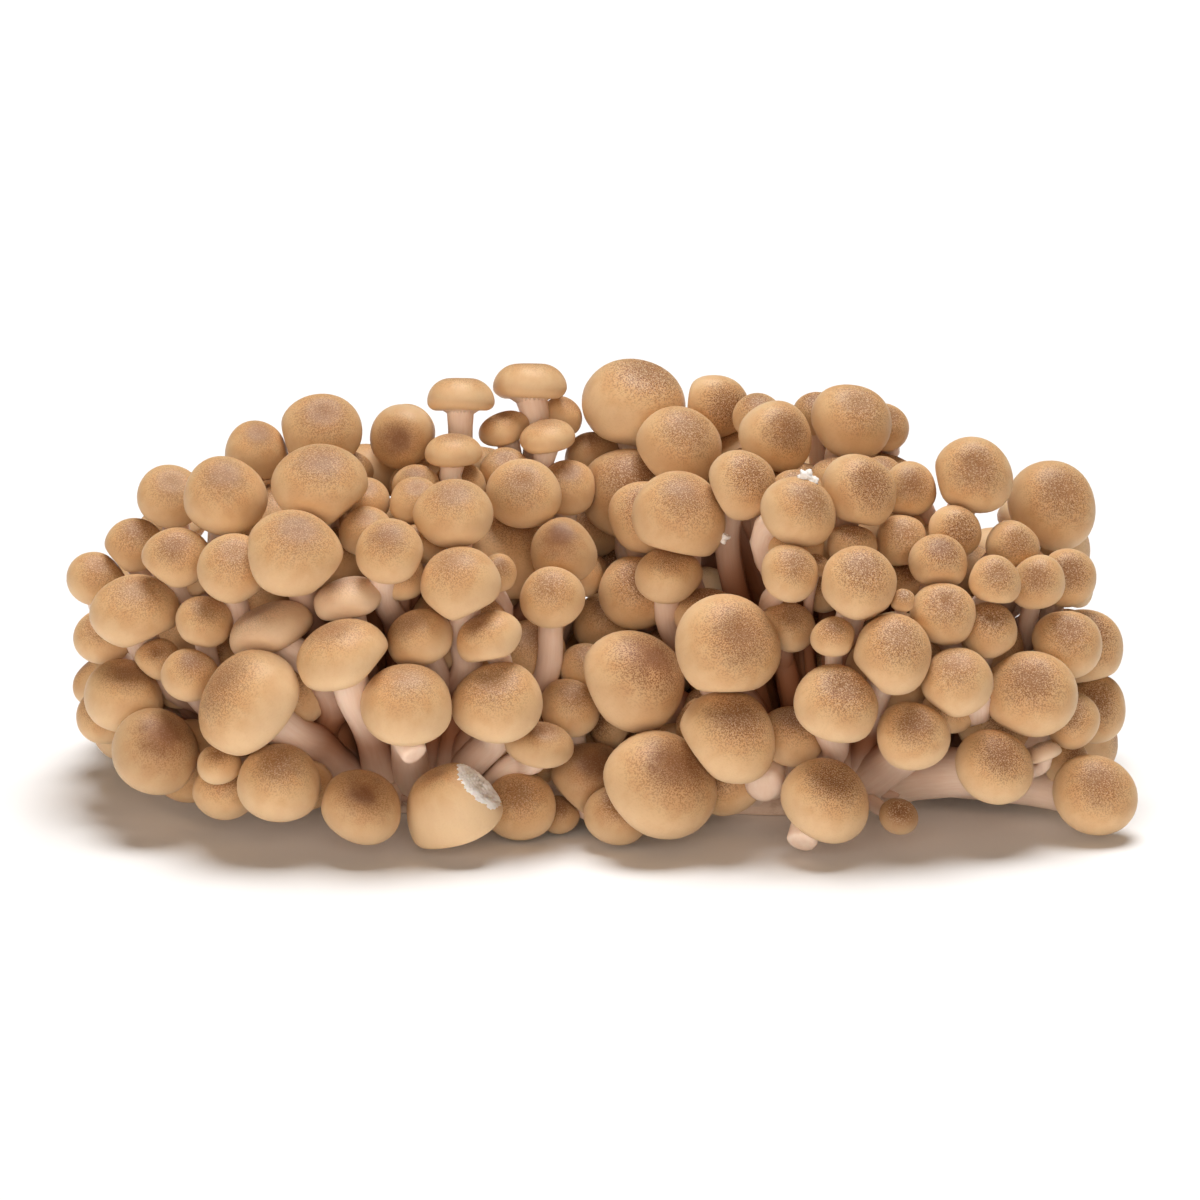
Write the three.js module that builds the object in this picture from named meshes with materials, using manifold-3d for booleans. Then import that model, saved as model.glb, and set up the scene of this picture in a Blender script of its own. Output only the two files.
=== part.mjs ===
// Brown beech mushroom cluster: a foot of fused stems, cut flat below, and a heap of domed caps
// in two lobes. Millimetres, +X to the right, +Y to the back, +Z up, z = 0 on the cut face.
import * as THREE from 'three';
import { mergeVertices } from 'three/addons/utils/BufferGeometryUtils.js';
import Module from 'manifold-3d';

const wasm = await Module();
wasm.setup();

// ---- driving sizes ------------------------------------------------------------------------
const GAP = 0.3;                 // left between neighbouring nodes
const FACE_TILT = 18;            // degrees: the charted face leans back from upright
const FACE_LIFT = 6;             // height of the chart's zero line on that face
const CROWN_HEIGHT = 0.87;       // dome above the widest ring, in cap radii
const MARGIN_DEPTH = 0.45;       // inrolled margin below the widest ring, in cap radii
const CAP_MIDDLE = 0.2;          // height of a cap's middle over its widest ring, in cap radii
const CAP_FLATNESS = 0.68;       // half height over half width of the spheroid that a cap fills
const CAP_SPACING = 0.97;        // closest two such spheroids come: 1 = they touch
const SLIDE_STEP = 0.25;         // a charted cap slides back in such steps
const STEM_RATIO = 0.175;        // stem radius, in cap widths
const STEM_RADIUS_LEAST = 1.0;
const STEM_CLEARANCE = 3;        // height of the stems' undersides above the table
const TABLE_CLEARANCE = 1.0;     // height of the lowest cap centres, in cap radii
const LOW_CAPS_BELOW = 20;       // caps lower than this have stems down to the root mound
const LOW_STEM_STEPS = 2;
const UPPER_STEM_STEPS = 1;
const CAP_SIDES = [[9.8, 7], [7.2, 6], [0, 5]];     // least radius, sides
const MOUND_HEIGHT = 16;         // the root mound, where the stems have grown together
const MOUND_LIFT = 1;            // its rim's height above the table
const FOOT_HEIGHT = 6;           // the cut block of the foot, let into the mounds from below
const ROUND_SIDES = 18;
const ROOT_REACH = 0.72;         // how far out in the root mound a low stem may end
const WHOLE = 300;               // more than the cluster measures any way
const TO_MIDDLE = [0.135, -1.928, 0];   // moves the whole so that its box is centred on the origin

// The two lobes: centre and half sizes of the ellipsoid that the outer cap centres lie on, the
// root mound below, and the heart, where the stems of the upper caps have grown together.
const LOBES = {
  right: {
    centre: [48, 2, 13], half: [56, 45, 61], mound: [46, 1], moundHalf: [37, 26],
    heart: [48, 2, 23], heartHalf: [37, 26, 23],
  },
  left: {
    centre: [-46, 2, 13], half: [57, 45, 59], mound: [-36, 0], moundHalf: [36, 26],
    heart: [-43, 2, 23], heartHalf: [37, 26, 22],
  },
};

// The foot's blocks, flat on the table: middle across and deep, half sizes across and deep.
const FOOT_BLOCKS = [[-36, 0, 29, 19], [46, 1, 30, 19], [5, 1, 24, 13]];

// The charted face. Each row is one cap, nearest first: across, up (both on the face that leans
// back), width, how far its crown leans across and up from facing straight out (1 = side on),
// and, where given, how much nearer it then comes and how many times as thick its stem is.
const RIGHT_CAPS = [
  [25.2, 22.6, 21.8, 0.33, 0.42], [25.3, 4.6, 19.8, 0.30, 0.55], [15.8, 48.3, 19.3, 0.20, 0.58],
  [11.8, -5.0, 23.2, 0.38, 0.52, 7], [85.7, 13.2, 18.4, -0.04, 0.45], [58.0, 21.0, 16.6, 0.18, 0.52],
  [46.8, 11.0, 17.3, 0.28, 0.60], [98.4, -6.9, 17.0, 0.15, 0.45, 0, 1.15], [44.7, -8.2, 17.8, 0.30, 0.60],
  [78.3, -1.2, 15.9, 0.30, 0.50, 0, 1.6], [62.1, 4.9, 14.6, 0.04, 0.50, 0, 1.5],
  [74.3, 56.7, 16.0, 0.10, 0.35], [90.2, 50.7, 18.3, 0.28, 0.42], [51.4, 35.1, 15.8, 0.15, 0.55],
  [68.2, 29.1, 13.5, 0.12, 0.50], [50.0, 67.3, 16.2, 0.30, 0.55], [15.7, 62.0, 17.4, 0.25, 0.55],
  [35.0, 64.4, 15.2, 0.48, 0.30], [39.3, 49.2, 15.0, 0.35, 0.50], [51.4, 53.4, 15.4, 0.40, 0.35],
  [13.7, 36.1, 14.1, 0.06, 0.85], [6.3, 15.6, 22.0, 0.42, 0.60], [70.9, 15.5, 14.7, -0.08, 0.60],
  [93.0, 23.0, 14.3, 0.10, 0.50], [67.2, 39.3, 12.2, 0.20, 0.60, 2], [37.6, 37.2, 11.9, 0.25, 0.50],
  [37.4, 26.6, 11.2, 0.20, 0.65], [27.9, 54.8, 14.2, 0.35, 0.42], [77.3, 25.7, 12.0, 0.10, 0.60],
  [78.4, 35.7, 10.8, 0.20, 0.45], [87.0, 35.4, 11.3, -0.05, 0.35], [61.6, 54.0, 11.5, 0.25, 0.35],
  [9.4, 48.4, 15.6, -0.05, 0.50], [70.2, 45.3, 11.3, 0.30, 0.20], [60.1, 43.5, 11.3, 0.15, 0.50],
  [23.0, 70.6, 13.6, 0.45, 0.10], [6.6, 70.4, 21.2, 0.30, 0.82], [50.0, 42.5, 10.4, 0.10, 0.80],
  [93.1, 36.3, 12.0, 0.15, 0.35], [82.0, 42.6, 10.8, 0.30, 0.30], [93.9, 8.1, 11.6, -0.05, 0.40],
  [46.4, 24.5, 9.0, 0.00, 0.60], [37.8, 4.5, 13.4, 0.20, 0.70], [7.0, 33.3, 15.4, 0.15, 0.50],
  [5.4, 52.8, 19.4, 0.10, 0.50], [96.0, 22.2, 16.6, 0.20, 0.50], [98.4, 10.2, 13.8, 0.10, 0.30],
  [21.0, 28.9, 12.6, 0.00, 0.75], [59.3, -11.0, 7.8, 0.10, 0.50], [31.7, 68.2, 10.6, -0.05, 0.75],
  [43.6, 69.0, 9.9, -0.10, 0.75], [57.1, 66.4, 9.8, 0.35, 0.50], [39.1, 53.1, 10.8, 0.10, 0.75],
  [56.3, 56.8, 8.8, 0.10, 0.80], [60.1, 31.7, 5.2, 0.10, 0.60], [42.9, 38.7, 5.2, 0.22, 0.70],
  [88.4, 1.4, 7.0, -0.30, 0.93], [1.0, 39.5, 17.0, 0.00, 0.50, -12], [42.0, 22.0, 14.0, 0.10, 0.60, -14],
];
const LEFT_CAPS = [
  [-60.9, 40.9, 19.4, 0.06, 0.68], [-55.6, 54.6, 19.6, 0.02, 0.75], [-38.5, 10.4, 19.0, -0.03, 0.78],
  [-20.3, 11.2, 18.0, -0.15, 0.66], [-69.4, 11.2, 22.4, -0.68, 0.54], [-27.6, 34.7, 16.7, -0.20, 0.72],
  [-51.0, 20.2, 18.8, -0.30, 0.86], [-92.6, 29.2, 17.7, 0.03, 0.74], [-74.6, 52.2, 17.0, 0.02, 0.62],
  [-29.3, -9.4, 18.8, -0.38, 0.86], [-47.4, -9.2, 16.4, 0.15, 0.60], [-63.6, -4.8, 17.0, 0.08, 0.62],
  [-88.5, 1.6, 18.2, 0.30, 0.50], [-29.1, 48.8, 16.0, -0.08, 0.72], [-15.2, 53.1, 15.2, -0.06, 0.50],
  [-41.6, 41.3, 14.1, -0.08, 0.60], [-73.2, 38.0, 14.6, 0.08, 0.55], [-84.3, 40.3, 13.3, 0.00, 0.55],
  [-55.6, 65.0, 16.8, 0.08, 0.60], [-15.7, -9.2, 14.8, -0.05, 0.50, -5], [-21.9, 24.0, 13.3, -0.40, 0.75],
  [-35.6, 24.0, 13.7, -0.38, 0.68], [-9.5, 32.3, 13.0, -0.06, 0.50], [-94.9, 12.2, 16.6, 0.10, 0.80],
  [-65.2, 25.4, 17.6, -0.42, 0.88, 2], [-81.6, 16.8, 11.6, 0.10, 0.60], [-78.7, 27.3, 11.8, 0.10, 0.68],
  [-93.1, 42.6, 12.0, 0.05, 0.62], [-85.8, 52.6, 13.8, 0.04, 0.60], [-10.6, 64.1, 11.8, -0.15, 0.95],
  [-19.0, 65.9, 10.6, -0.30, 0.90], [-29.2, 61.2, 11.8, 0.00, 0.97], [-39.5, 64.6, 13.2, -0.22, -0.05],
  [-27.8, 71.8, 14.0, 0.00, 1.00, -3], [-14.0, 74.4, 15.4, 0.00, 1.00, -9],
  [-50.0, 31.4, 14.0, -0.26, 0.93], [-12.0, 2.7, 13.2, 0.10, 0.88], [-100.7, 36.0, 11.9, 0.15, 0.60],
  [-68.5, 61.1, 13.2, 0.15, 0.72], [-88.0, 20.0, 9.4, 0.00, 0.60], [-99.0, 24.4, 12.0, -0.20, 0.60],
  [-98.3, 9.0, 12.6, -0.20, 0.50], [-75.6, -0.9, 9.2, 0.00, 0.75], [-74.4, -5.2, 13.8, -0.10, 0.50],
  [-7.2, 41.3, 13.7, -0.12, 0.50], [-20.4, 37.3, 8.0, 0.30, 0.50], [-46.7, 45.6, 11.0, -0.05, 0.70],
  [-36.7, 51.3, 10.8, 0.00, 0.70], [-27.9, 54.8, 10.6, 0.00, 0.75], [-36.5, 54.4, 9.7, 0.05, 0.75],
  [-46.6, 51.7, 10.0, 0.10, 0.70], [-18.8, 57.4, 10.8, 0.00, 0.70], [-6.4, 54.2, 12.0, 0.00, 0.70, 12],
  [-49.9, 57.8, 9.2, 0.20, 0.80], [-1.4, 60.2, 11.6, 0.00, 0.90], [-7.8, 68.5, 8.8, 0.55, 0.75],
  [-6.1, 10.3, 12.4, 0.15, 0.60], [-3.0, 18.3, 10.8, 0.10, 0.70], [-1.8, -4.0, 16.4, 0.15, 0.60],
  [3.2, -11.0, 12.8, 0.15, 0.60], [-8.0, -10.7, 8.4, 0.00, 0.60], [-38.9, 65.8, 12.0, 0.10, 0.70],
  [-84.0, 13.8, 8.4, 0.00, 0.70], [-2.5, 46.0, 15.0, 0.10, 0.60, -4], [1.0, 27.0, 13.0, 0.10, 0.60, -4],
  [-14.0, 21.0, 15.0, 0.10, 0.60, -14],
];

// The torn cap of the left lobe: its place on the chart, the way across, up and back in which a
// side of it has come off, and how far from its middle the torn face lies, in radii.
const TORN_CAP = [-29.3, -9.4];
const TORN_WAY = [0.685, 0.67, -0.287];
const TORN_AT = 0.8;

// Where light passes right through the heap: across, up on the charted face.
const LIGHT_GAPS = [
  [-77.4, 44], [-82.2, 33.2], [-83, 10.4], [-72.8, -4.6], [41.6, 61], [65, 51], [84, 28],
  [77, 48], [71.5, 50.5],
];
// Where the charted face opens on stems: across, up, radius. Grown caps keep behind STEM_GAP_DEPTH.
const STEM_GAPS = [
  [62, -3, 7], [50, 1, 5], [71, -4, 5], [-53, 4, 5], [-41, 2, 5], [-31, 2, 3], [-46, 10, 4],
  [-11, 20, 4], [26, 41, 4], [33, 11, 4], [-48, 27, 3], [35, 30, 4], [45, 26, 3], [68, -6, 4],
];
const STEM_GAP_DEPTH = -5;

// The rest of the heap is grown by rule: rounds of tries, with the widths that they try.
const GROWTH = [
  { tries: 4000, widths: [18, 22] },
  { tries: 3400, widths: [14, 18] },
  { tries: 1200, widths: [10, 13] },
];
const GROWTH_SEED = 7;
const SHELLS = [1, 0.92, 0.84, 0.76, 0.66];    // how deep under the lobe's surface a cap may sit
const LAST_SEEN_SHELL = 0.84;              // deeper ones keep their room, but stay hidden and unbuilt
// Spots on a cap's disc, in radii: a cap hides little of the charted face where few of them show.
const SAMPLES = [[0, 0], [0.7, 0], [-0.7, 0], [0, 0.7], [0, -0.7], [0.5, 0.5], [-0.5, 0.5],
  [0.5, -0.5], [-0.5, -0.5]];
const SAMPLES_SHOWN = 3;
const OUTLINE_SPOTS = [-0.95, -0.6, 0, 0.6, 0.95];      // places across a cap, in radii
const HEIGHTS = [-0.05, 1];                // of grown caps in their lobe, from its middle to its top
const GROWN_OUT = 0.9;                     // how far a grown cap faces out of the heap,
const GROWN_UP = 0.45;                     // how far it faces up
const GROWN_ASKEW = 0.5;                   // and how far it leans at random

// ---- small helpers ------------------------------------------------------------------------
const V = (x, y, z) => new THREE.Vector3(x, y, z);
const TILT = THREE.MathUtils.degToRad(FACE_TILT);
const FACE_UP = V(0, Math.sin(TILT), Math.cos(TILT));
const FACE_IN = V(0, Math.cos(TILT), -Math.sin(TILT));      // away from whoever looks at the face

// A repeatable stream of numbers from 0 to 1.
function stream(seed) {
  let state = seed >>> 0;
  return () => {
    state = (state + 0x6D2B79F5) >>> 0;
    let t = state;
    t = Math.imul(t ^ (t >>> 15), t | 1);
    t ^= t + Math.imul(t ^ (t >>> 7), t | 61);
    return ((t ^ (t >>> 14)) >>> 0) / 4294967296;
  };
}

const facePoint = (across, up, depth) =>
  V(across, 0, 0).addScaledVector(FACE_UP, up).addScaledVector(FACE_IN, depth);

// ---- where the caps are -------------------------------------------------------------------
// Depth at which the line of sight at (across, up) first meets the lobe, or passes nearest it.
function lobeDepth(lobe, across, up) {
  const start = facePoint(across, up, 0).sub(V(...lobe.centre)).divide(V(...lobe.half));
  const along = FACE_IN.clone().divide(V(...lobe.half));
  const a = along.lengthSq();
  const b = start.dot(along);
  return (-b - Math.sqrt(Math.max(0, b * b - a * (start.lengthSq() - 1)))) / a;
}

// A cap fills a spheroid, flatter along its axis. Two are clear where their middles lie further
// apart than the spheroids reach towards each other.
const SQUASH = Math.sqrt(1 / CAP_FLATNESS ** 2 - 1);
const middle = ({ centre, radius, axis }) => centre.clone().addScaledVector(axis, CAP_MIDDLE * radius);
const reach = ({ radius, axis }, way) => radius / Math.hypot(1, SQUASH * way.dot(axis));

function isClear(cap, others) {
  const own = middle(cap);
  return others.every((other) => {
    const way = middle(other).sub(own);
    const apart = way.length();
    way.divideScalar(apart);
    return apart >= CAP_SPACING * (reach(cap, way) + reach(other, way));
  });
}

// Charted caps start on the lobe's surface and slide back until they clear the nearer ones.
function chartedCaps() {
  const placed = [];
  for (const [lobe, chart] of [[LOBES.right, RIGHT_CAPS], [LOBES.left, LEFT_CAPS]]) {
    for (const [across, upOnChart, width, leanAcross, leanUp, nearer = 0, stout = 1] of chart) {
      const up = upOnChart + FACE_LIFT;
      const radius = width / 2;
      const onTable = (up * Math.cos(TILT) - TABLE_CLEARANCE * radius) / Math.sin(TILT);
      const lean = Math.hypot(leanAcross, leanUp);
      const axis = facePoint(leanAcross, leanUp, -Math.sqrt(Math.max(0, 1 - lean * lean))).normalize();
      let depth = lobeDepth(lobe, across, up);
      while (depth < onTable
        && !isClear({ radius, axis, centre: facePoint(across, up, depth) }, placed)) {
        depth += SLIDE_STEP;
      }
      depth = Math.min(depth, onTable) - nearer;
      const torn = across === TORN_CAP[0] && upOnChart === TORN_CAP[1];
      const centre = facePoint(across, up, depth);
      placed.push({ lobe, across, up, depth, radius, axis, torn, stout, centre });
    }
  }
  return placed;
}

// Height of the charted outline over a place across the face.
function skyline(charted, across) {
  let top = -Infinity;
  for (const cap of charted) {
    const off = across - cap.across;
    if (Math.abs(off) < cap.radius) {
      top = Math.max(top, cap.up + Math.sqrt(cap.radius * cap.radius - off * off));
    }
  }
  return top;
}

// True where a grown cap stays under the charted outline and leaves the charted face and its gaps.
function leavesFace({ across, up, depth, radius }, charted) {
  const nears = (room) => ([x, y, wide = 0]) =>
    Math.hypot(across - x, up - y - FACE_LIFT) < radius + room * wide;
  if (LIGHT_GAPS.some(nears(0))) return false;
  if (depth < STEM_GAP_DEPTH && STEM_GAPS.some(nears(1))) return false;
  const under = OUTLINE_SPOTS.every((side) =>
    up + radius * Math.sqrt(1 - side * side) < skyline(charted, across + side * radius));
  if (!under) return false;
  const shown = SAMPLES.filter(([x, y]) => !charted.some((cap) => cap.depth < depth
    && Math.hypot(across + x * radius - cap.across, up + y * radius - cap.up) < cap.radius));
  const hides = charted.some((cap) => depth < cap.depth
    && Math.hypot(across - cap.across, up - cap.up) < radius + cap.radius);
  return shown.length <= SAMPLES_SHOWN || !hides;
}

// Grown caps fill the back, the ends and the depth of the heap, where they clear every other
// cap and leave the charted face alone.
function grownCaps(charted) {
  const next = stream(GROWTH_SEED);
  const grown = [];
  for (const { tries, widths } of GROWTH) {
    for (let i = 0; i < tries; i++) {
      const lobe = next() < 0.5 ? LOBES.right : LOBES.left;
      const around = next() * 2 * Math.PI;
      const height = HEIGHTS[0] + next() * (HEIGHTS[1] - HEIGHTS[0]);
      const radius = (widths[0] + next() * (widths[1] - widths[0])) / 2;
      const jitter = V(next() - 0.5, next() - 0.5, next() - 0.5);
      const level = Math.sqrt(1 - height * height);
      const way = V(level * Math.cos(around), level * Math.sin(around), height);
      const axis = way.clone().divide(V(...lobe.half)).normalize().multiplyScalar(GROWN_OUT)
        .add(V(0, 0, GROWN_UP)).addScaledVector(jitter, GROWN_ASKEW).normalize();
      for (const shell of SHELLS) {
        const centre = way.clone().multiply(V(...lobe.half)).multiplyScalar(shell).add(V(...lobe.centre));
        centre.z = Math.max(centre.z, TABLE_CLEARANCE * radius);
        const cap = {
          lobe, across: centre.x, up: centre.dot(FACE_UP), depth: centre.dot(FACE_IN), radius, axis, centre,
        };
        if (isClear(cap, charted) && isClear(cap, grown) && leavesFace(cap, charted)) {
          grown.push({ ...cap, hidden: shell < LAST_SEEN_SHELL });
          break;
        }
      }
    }
  }
  return grown;
}

// ---- solids -------------------------------------------------------------------------------
// Closes a geometry's shared corners and hands it over for joining and cutting.
function solid(geometry) {
  const bare = geometry.clone();
  bare.deleteAttribute('normal');
  bare.deleteAttribute('uv');
  const merged = mergeVertices(bare, 1e-4);
  const index = merged.index.array;
  const triangles = [];
  for (let i = 0; i < index.length; i += 3) {
    const [a, b, c] = index.slice(i, i + 3);
    if (a !== b && b !== c && c !== a) triangles.push(a, b, c);
  }
  return new wasm.Manifold(new wasm.Mesh({
    numProp: 3,
    vertProperties: new Float32Array(merged.attributes.position.array),
    triVerts: new Uint32Array(triangles),
  }));
}

function toMesh(body, name, material) {
  const { numProp, vertProperties, triVerts } = body.getMesh();
  const geometry = new THREE.BufferGeometry();
  const corners = new Float32Array(vertProperties.length / numProp * 3);
  for (let i = 0; i < corners.length / 3; i++) {
    corners.set(vertProperties.subarray(i * numProp, i * numProp + 3), i * 3);
  }
  geometry.setAttribute('position', new THREE.BufferAttribute(corners, 3));
  geometry.setIndex(new THREE.BufferAttribute(new Uint32Array(triVerts), 1));
  geometry.computeVertexNormals();
  const mesh = new THREE.Mesh(geometry, material);
  mesh.name = name;
  return mesh;
}

// ---- stems and root -----------------------------------------------------------------------
const isLow = (cap) => cap.centre.z < LOW_CAPS_BELOW;
const stemRadius = ({ radius, stout = 1 }) => Math.max(STEM_RADIUS_LEAST, STEM_RATIO * 2 * radius * stout);

// Where a stem ends: low in the root mound for a low cap, else inside the heart.
function stemRoot(cap) {
  const { mound, moundHalf, heart, heartHalf } = cap.lobe;
  if (!isLow(cap)) {
    const way = cap.centre.clone().sub(V(...heart)).divide(V(...heartHalf)).normalize();
    return way.multiplyScalar(0.8).multiply(V(...heartHalf)).add(V(...heart));
  }
  const way = new THREE.Vector2(
    (cap.centre.x - mound[0]) / moundHalf[0], (cap.centre.y - mound[1]) / moundHalf[1]);
  way.multiplyScalar(0.6).clampLength(0, ROOT_REACH);
  return V(mound[0] + way.x * moundHalf[0], mound[1] + way.y * moundHalf[1], MOUND_HEIGHT * 0.6);
}

// Places down a stem, from its cap to its root: it leaves along the cap's axis and bends down
// and inwards. Where it would run into another cap it is pushed aside.
function stemPath(cap, steps) {
  const radius = stemRadius(cap);
  const top = cap.centre.clone().addScaledVector(cap.axis, -MARGIN_DEPTH * cap.radius);
  const root = stemRoot(cap);
  const run = top.distanceTo(root);
  const leave = top.clone().addScaledVector(cap.axis, -0.45 * run);
  leave.z = Math.max(leave.z, (top.z + root.z) / 2);
  const rise = root.clone().addScaledVector(top.clone().sub(root), 0.3);
  const points = new THREE.CubicBezierCurve3(top, leave, rise, root).getPoints(steps);
  for (const point of points.slice(1, -1)) {
    for (const other of caps) {
      if (other === cap) continue;
      const away = point.clone().sub(other.centre);
      const short = other.radius * 0.9 + radius - away.length();
      if (short > 0) point.addScaledVector(away.normalize(), short);
    }
    point.z = Math.max(point.z, radius + STEM_CLEARANCE);
  }
  return points;
}

// One mushroom, turned as a whole: a domed cap with its margin rolled in, and a stem whose rings
// are then carried along the stem's path. `extra` swells it all round.
function mushroomSolid(cap, extra = 0) {
  const r = cap.radius;
  const sides = CAP_SIDES.find(([least]) => r > least)[1];
  const steps = isLow(cap) ? LOW_STEM_STEPS : UPPER_STEM_STEPS;
  const wide = r / Math.sqrt(Math.cos(Math.PI / sides)) + extra;
  const thick = stemRadius(cap) + extra;
  const far = 100;                      // stem rings wait this far below the cap, one by one
  const rings = Array.from({ length: steps }, (_, k) => [thick, -far * (steps - k)]);
  const profile = [
    [0, -far * steps],
    ...rings,
    [thick, -MARGIN_DEPTH * r - extra],
    [wide, -MARGIN_DEPTH * r * 0.35 - extra],
    [wide * 0.76, CROWN_HEIGHT * r * 0.68 + extra * 0.7],
    [0, CROWN_HEIGHT * r + extra],
  ].map(([x, y]) => new THREE.Vector2(x, y));
  const geometry = new THREE.LatheGeometry(profile, sides);
  const path = stemPath(cap, steps);
  const corners = geometry.attributes.position;
  const upright = new THREE.Quaternion().setFromUnitVectors(V(0, 1, 0), cap.axis);
  for (let i = 0; i < corners.count; i++) {
    const corner = V(0, 0, 0).fromBufferAttribute(corners, i);
    const ring = Math.round(-corner.y / far);
    if (ring > 0) corner.y = 0;
    corner.applyQuaternion(upright);
    if (ring > 0) {
      const along = path[ring - 1].clone().sub(path[Math.min(ring + 1, steps)]).normalize();
      corner.applyQuaternion(new THREE.Quaternion().setFromUnitVectors(cap.axis, along)).add(path[ring]);
    } else {
      corner.add(cap.centre);
    }
    corners.setXYZ(i, ...corner);
  }
  return cap.torn ? solid(geometry).subtract(tornAway(cap, extra)) : solid(geometry);
}

// The room of the side that has come off the torn cap.
function tornAway(cap, extra) {
  const way = facePoint(...TORN_WAY);
  const room = new THREE.BoxGeometry(4 * cap.radius, 4 * cap.radius, 2 * cap.radius)
    .translate(0, 0, (TORN_AT + 1) * cap.radius + extra)
    .applyQuaternion(new THREE.Quaternion().setFromUnitVectors(V(0, 0, 1), way.normalize()))
    .translate(...cap.centre);
  return solid(room);
}

// A round block on a flat bottom, a little narrower at its top.
function block([x, y], [halfX, halfY], bottom, top, extra = 0) {
  const shape = [[0, 0], [1, 0], [0.86, 1], [0, 1]].map(([across, up]) => new THREE.Vector2(across, up));
  return solid(new THREE.LatheGeometry(shape, ROUND_SIDES).rotateX(Math.PI / 2)
    .scale(halfX + extra, halfY + extra, top - bottom + extra).translate(x, y, bottom));
}

const heartSolid = ({ heart, heartHalf }, extra) => solid(
  new THREE.SphereGeometry(1, 8, 5).scale(...heartHalf.map((half) => half + extra)).translate(...heart));

// ---- the cluster --------------------------------------------------------------------------
const CAP_COLOUR = 0xc79f70;
const FLESH_COLOUR = 0xe7d5c6;

const charted = chartedCaps();
const caps = [...charted, ...grownCaps(charted).filter(({ hidden }) => !hidden)];

const sum = (bodies) => bodies.reduce((all, body) => all.add(body));
const foot = (extra) => sum(FOOT_BLOCKS.map(([x, y, halfX, halfY]) =>
  block([x, y], [halfX, halfY], 0, FOOT_HEIGHT, extra)));

// Everything that grows from one root mound, swollen by `extra` where a neighbour gives way.
function bunchSolids(lobe, extra = 0) {
  const own = caps.filter((cap) => cap.lobe === lobe);
  return [
    block(lobe.mound, lobe.moundHalf, MOUND_LIFT, MOUND_HEIGHT, extra),
    heartSolid(lobe, extra),
    ...own.map((cap) => mushroomSolid(cap, extra)),
  ];
}

const cut = (body, tools) => tools.filter((tool) => body.intersect(tool).volume() > 0)
  .reduce((rest, tool) => rest.subtract(tool), body);
const largest = (body) => body.decompose().sort((a, b) => b.volume() - a.volume())[0];

const underTable = solid(new THREE.BoxGeometry(WHOLE, WHOLE, WHOLE).translate(0, 0, -WHOLE / 2));
const aboveTable = (bodies) => sum(bodies).subtract(foot(GAP)).subtract(underTable);

const right = largest(aboveTable(bunchSolids(LOBES.right)));
const left = largest(cut(aboveTable(bunchSolids(LOBES.left)), bunchSolids(LOBES.right, GAP)));

const finish = (color, roughness) => new THREE.MeshStandardMaterial({ color, roughness, metalness: 0 });
const group = new THREE.Group();
group.position.set(...TO_MIDDLE);
group.add(toMesh(foot(0), 'cut_foot', finish(FLESH_COLOUR, 0.6)));
group.add(toMesh(left, 'left_bunch', finish(CAP_COLOUR, 0.45)));
group.add(toMesh(right, 'right_bunch', finish(CAP_COLOUR, 0.45)));

export default group;
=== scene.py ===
"""A cluster of brown beech mushrooms: domed caps in two lobes, on stems that join in a cut foot.

Sizes are worked out in millimetres in the cluster's own frame and written to meshes in metres.
"""

import functools
import math
from dataclasses import dataclass

import bpy
import numpy as np
from bpy.props import FloatProperty, FloatVectorProperty, PointerProperty
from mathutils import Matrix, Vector


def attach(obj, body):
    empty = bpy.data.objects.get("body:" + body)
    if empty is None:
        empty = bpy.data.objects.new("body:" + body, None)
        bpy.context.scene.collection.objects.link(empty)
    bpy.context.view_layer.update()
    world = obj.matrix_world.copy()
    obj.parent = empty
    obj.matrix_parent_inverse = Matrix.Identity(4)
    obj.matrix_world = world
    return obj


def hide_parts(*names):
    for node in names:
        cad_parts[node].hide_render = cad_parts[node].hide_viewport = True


bl_info = {
    "name": "Beech mushroom cluster",
    "version": (1, 0, 0),
    "blender": (4, 5, 0),
    "location": "3D View > Sidebar > Mushrooms",
    "description": "Grows a cluster of brown beech mushrooms in two lobes on a cut foot",
    "category": "Add Mesh",
}

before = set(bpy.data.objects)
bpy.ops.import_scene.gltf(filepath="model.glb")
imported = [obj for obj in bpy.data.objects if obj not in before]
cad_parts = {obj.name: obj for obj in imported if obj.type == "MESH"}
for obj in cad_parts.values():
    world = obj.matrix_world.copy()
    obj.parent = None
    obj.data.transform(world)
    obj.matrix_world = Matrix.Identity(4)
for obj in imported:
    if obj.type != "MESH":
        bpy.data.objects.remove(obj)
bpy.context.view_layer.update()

MM = 0.001
TO_MIDDLE = np.array([0.135, -1.928, 0.0])   # from the heap's frame to the middle of its box
TINY = 1e-9

# ---- the heap's rule, the same as the solids' --------------------------------------------------
FACE_TILT = math.radians(18)    # the charted face leans back from upright
FACE_LIFT = 6.0             # height of the chart's zero line on that face
CAP_MIDDLE = 0.2            # height of a cap's middle over its widest ring, in cap radii
CAP_FLATNESS = 0.68         # half height over half width of the spheroid that a cap fills
CAP_SPACING = 0.97          # closest two such spheroids come: 1 = they touch
SLIDE_STEP = 0.25           # a charted cap slides back in such steps
STEM_RATIO = 0.175          # stem radius, in cap widths
STEM_RADIUS_LEAST = 1.0
STEM_CLEARANCE = 3.0        # height of the stems' undersides above the table
TABLE_CLEARANCE = 1.0       # height of the lowest cap centres, in cap radii
LOW_CAPS_BELOW = 20.0       # caps lower than this have flatter stems
ROOT_REACH = 0.72           # how far out in the root a stem may end

UP = np.array([0.0, 0.0, 1.0])
ACROSS = np.array([1.0, 0.0, 0.0])
FACE_UP = np.array([0.0, math.sin(FACE_TILT), math.cos(FACE_TILT)])
FACE_IN = np.array([0.0, math.cos(FACE_TILT), -math.sin(FACE_TILT)])


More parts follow.
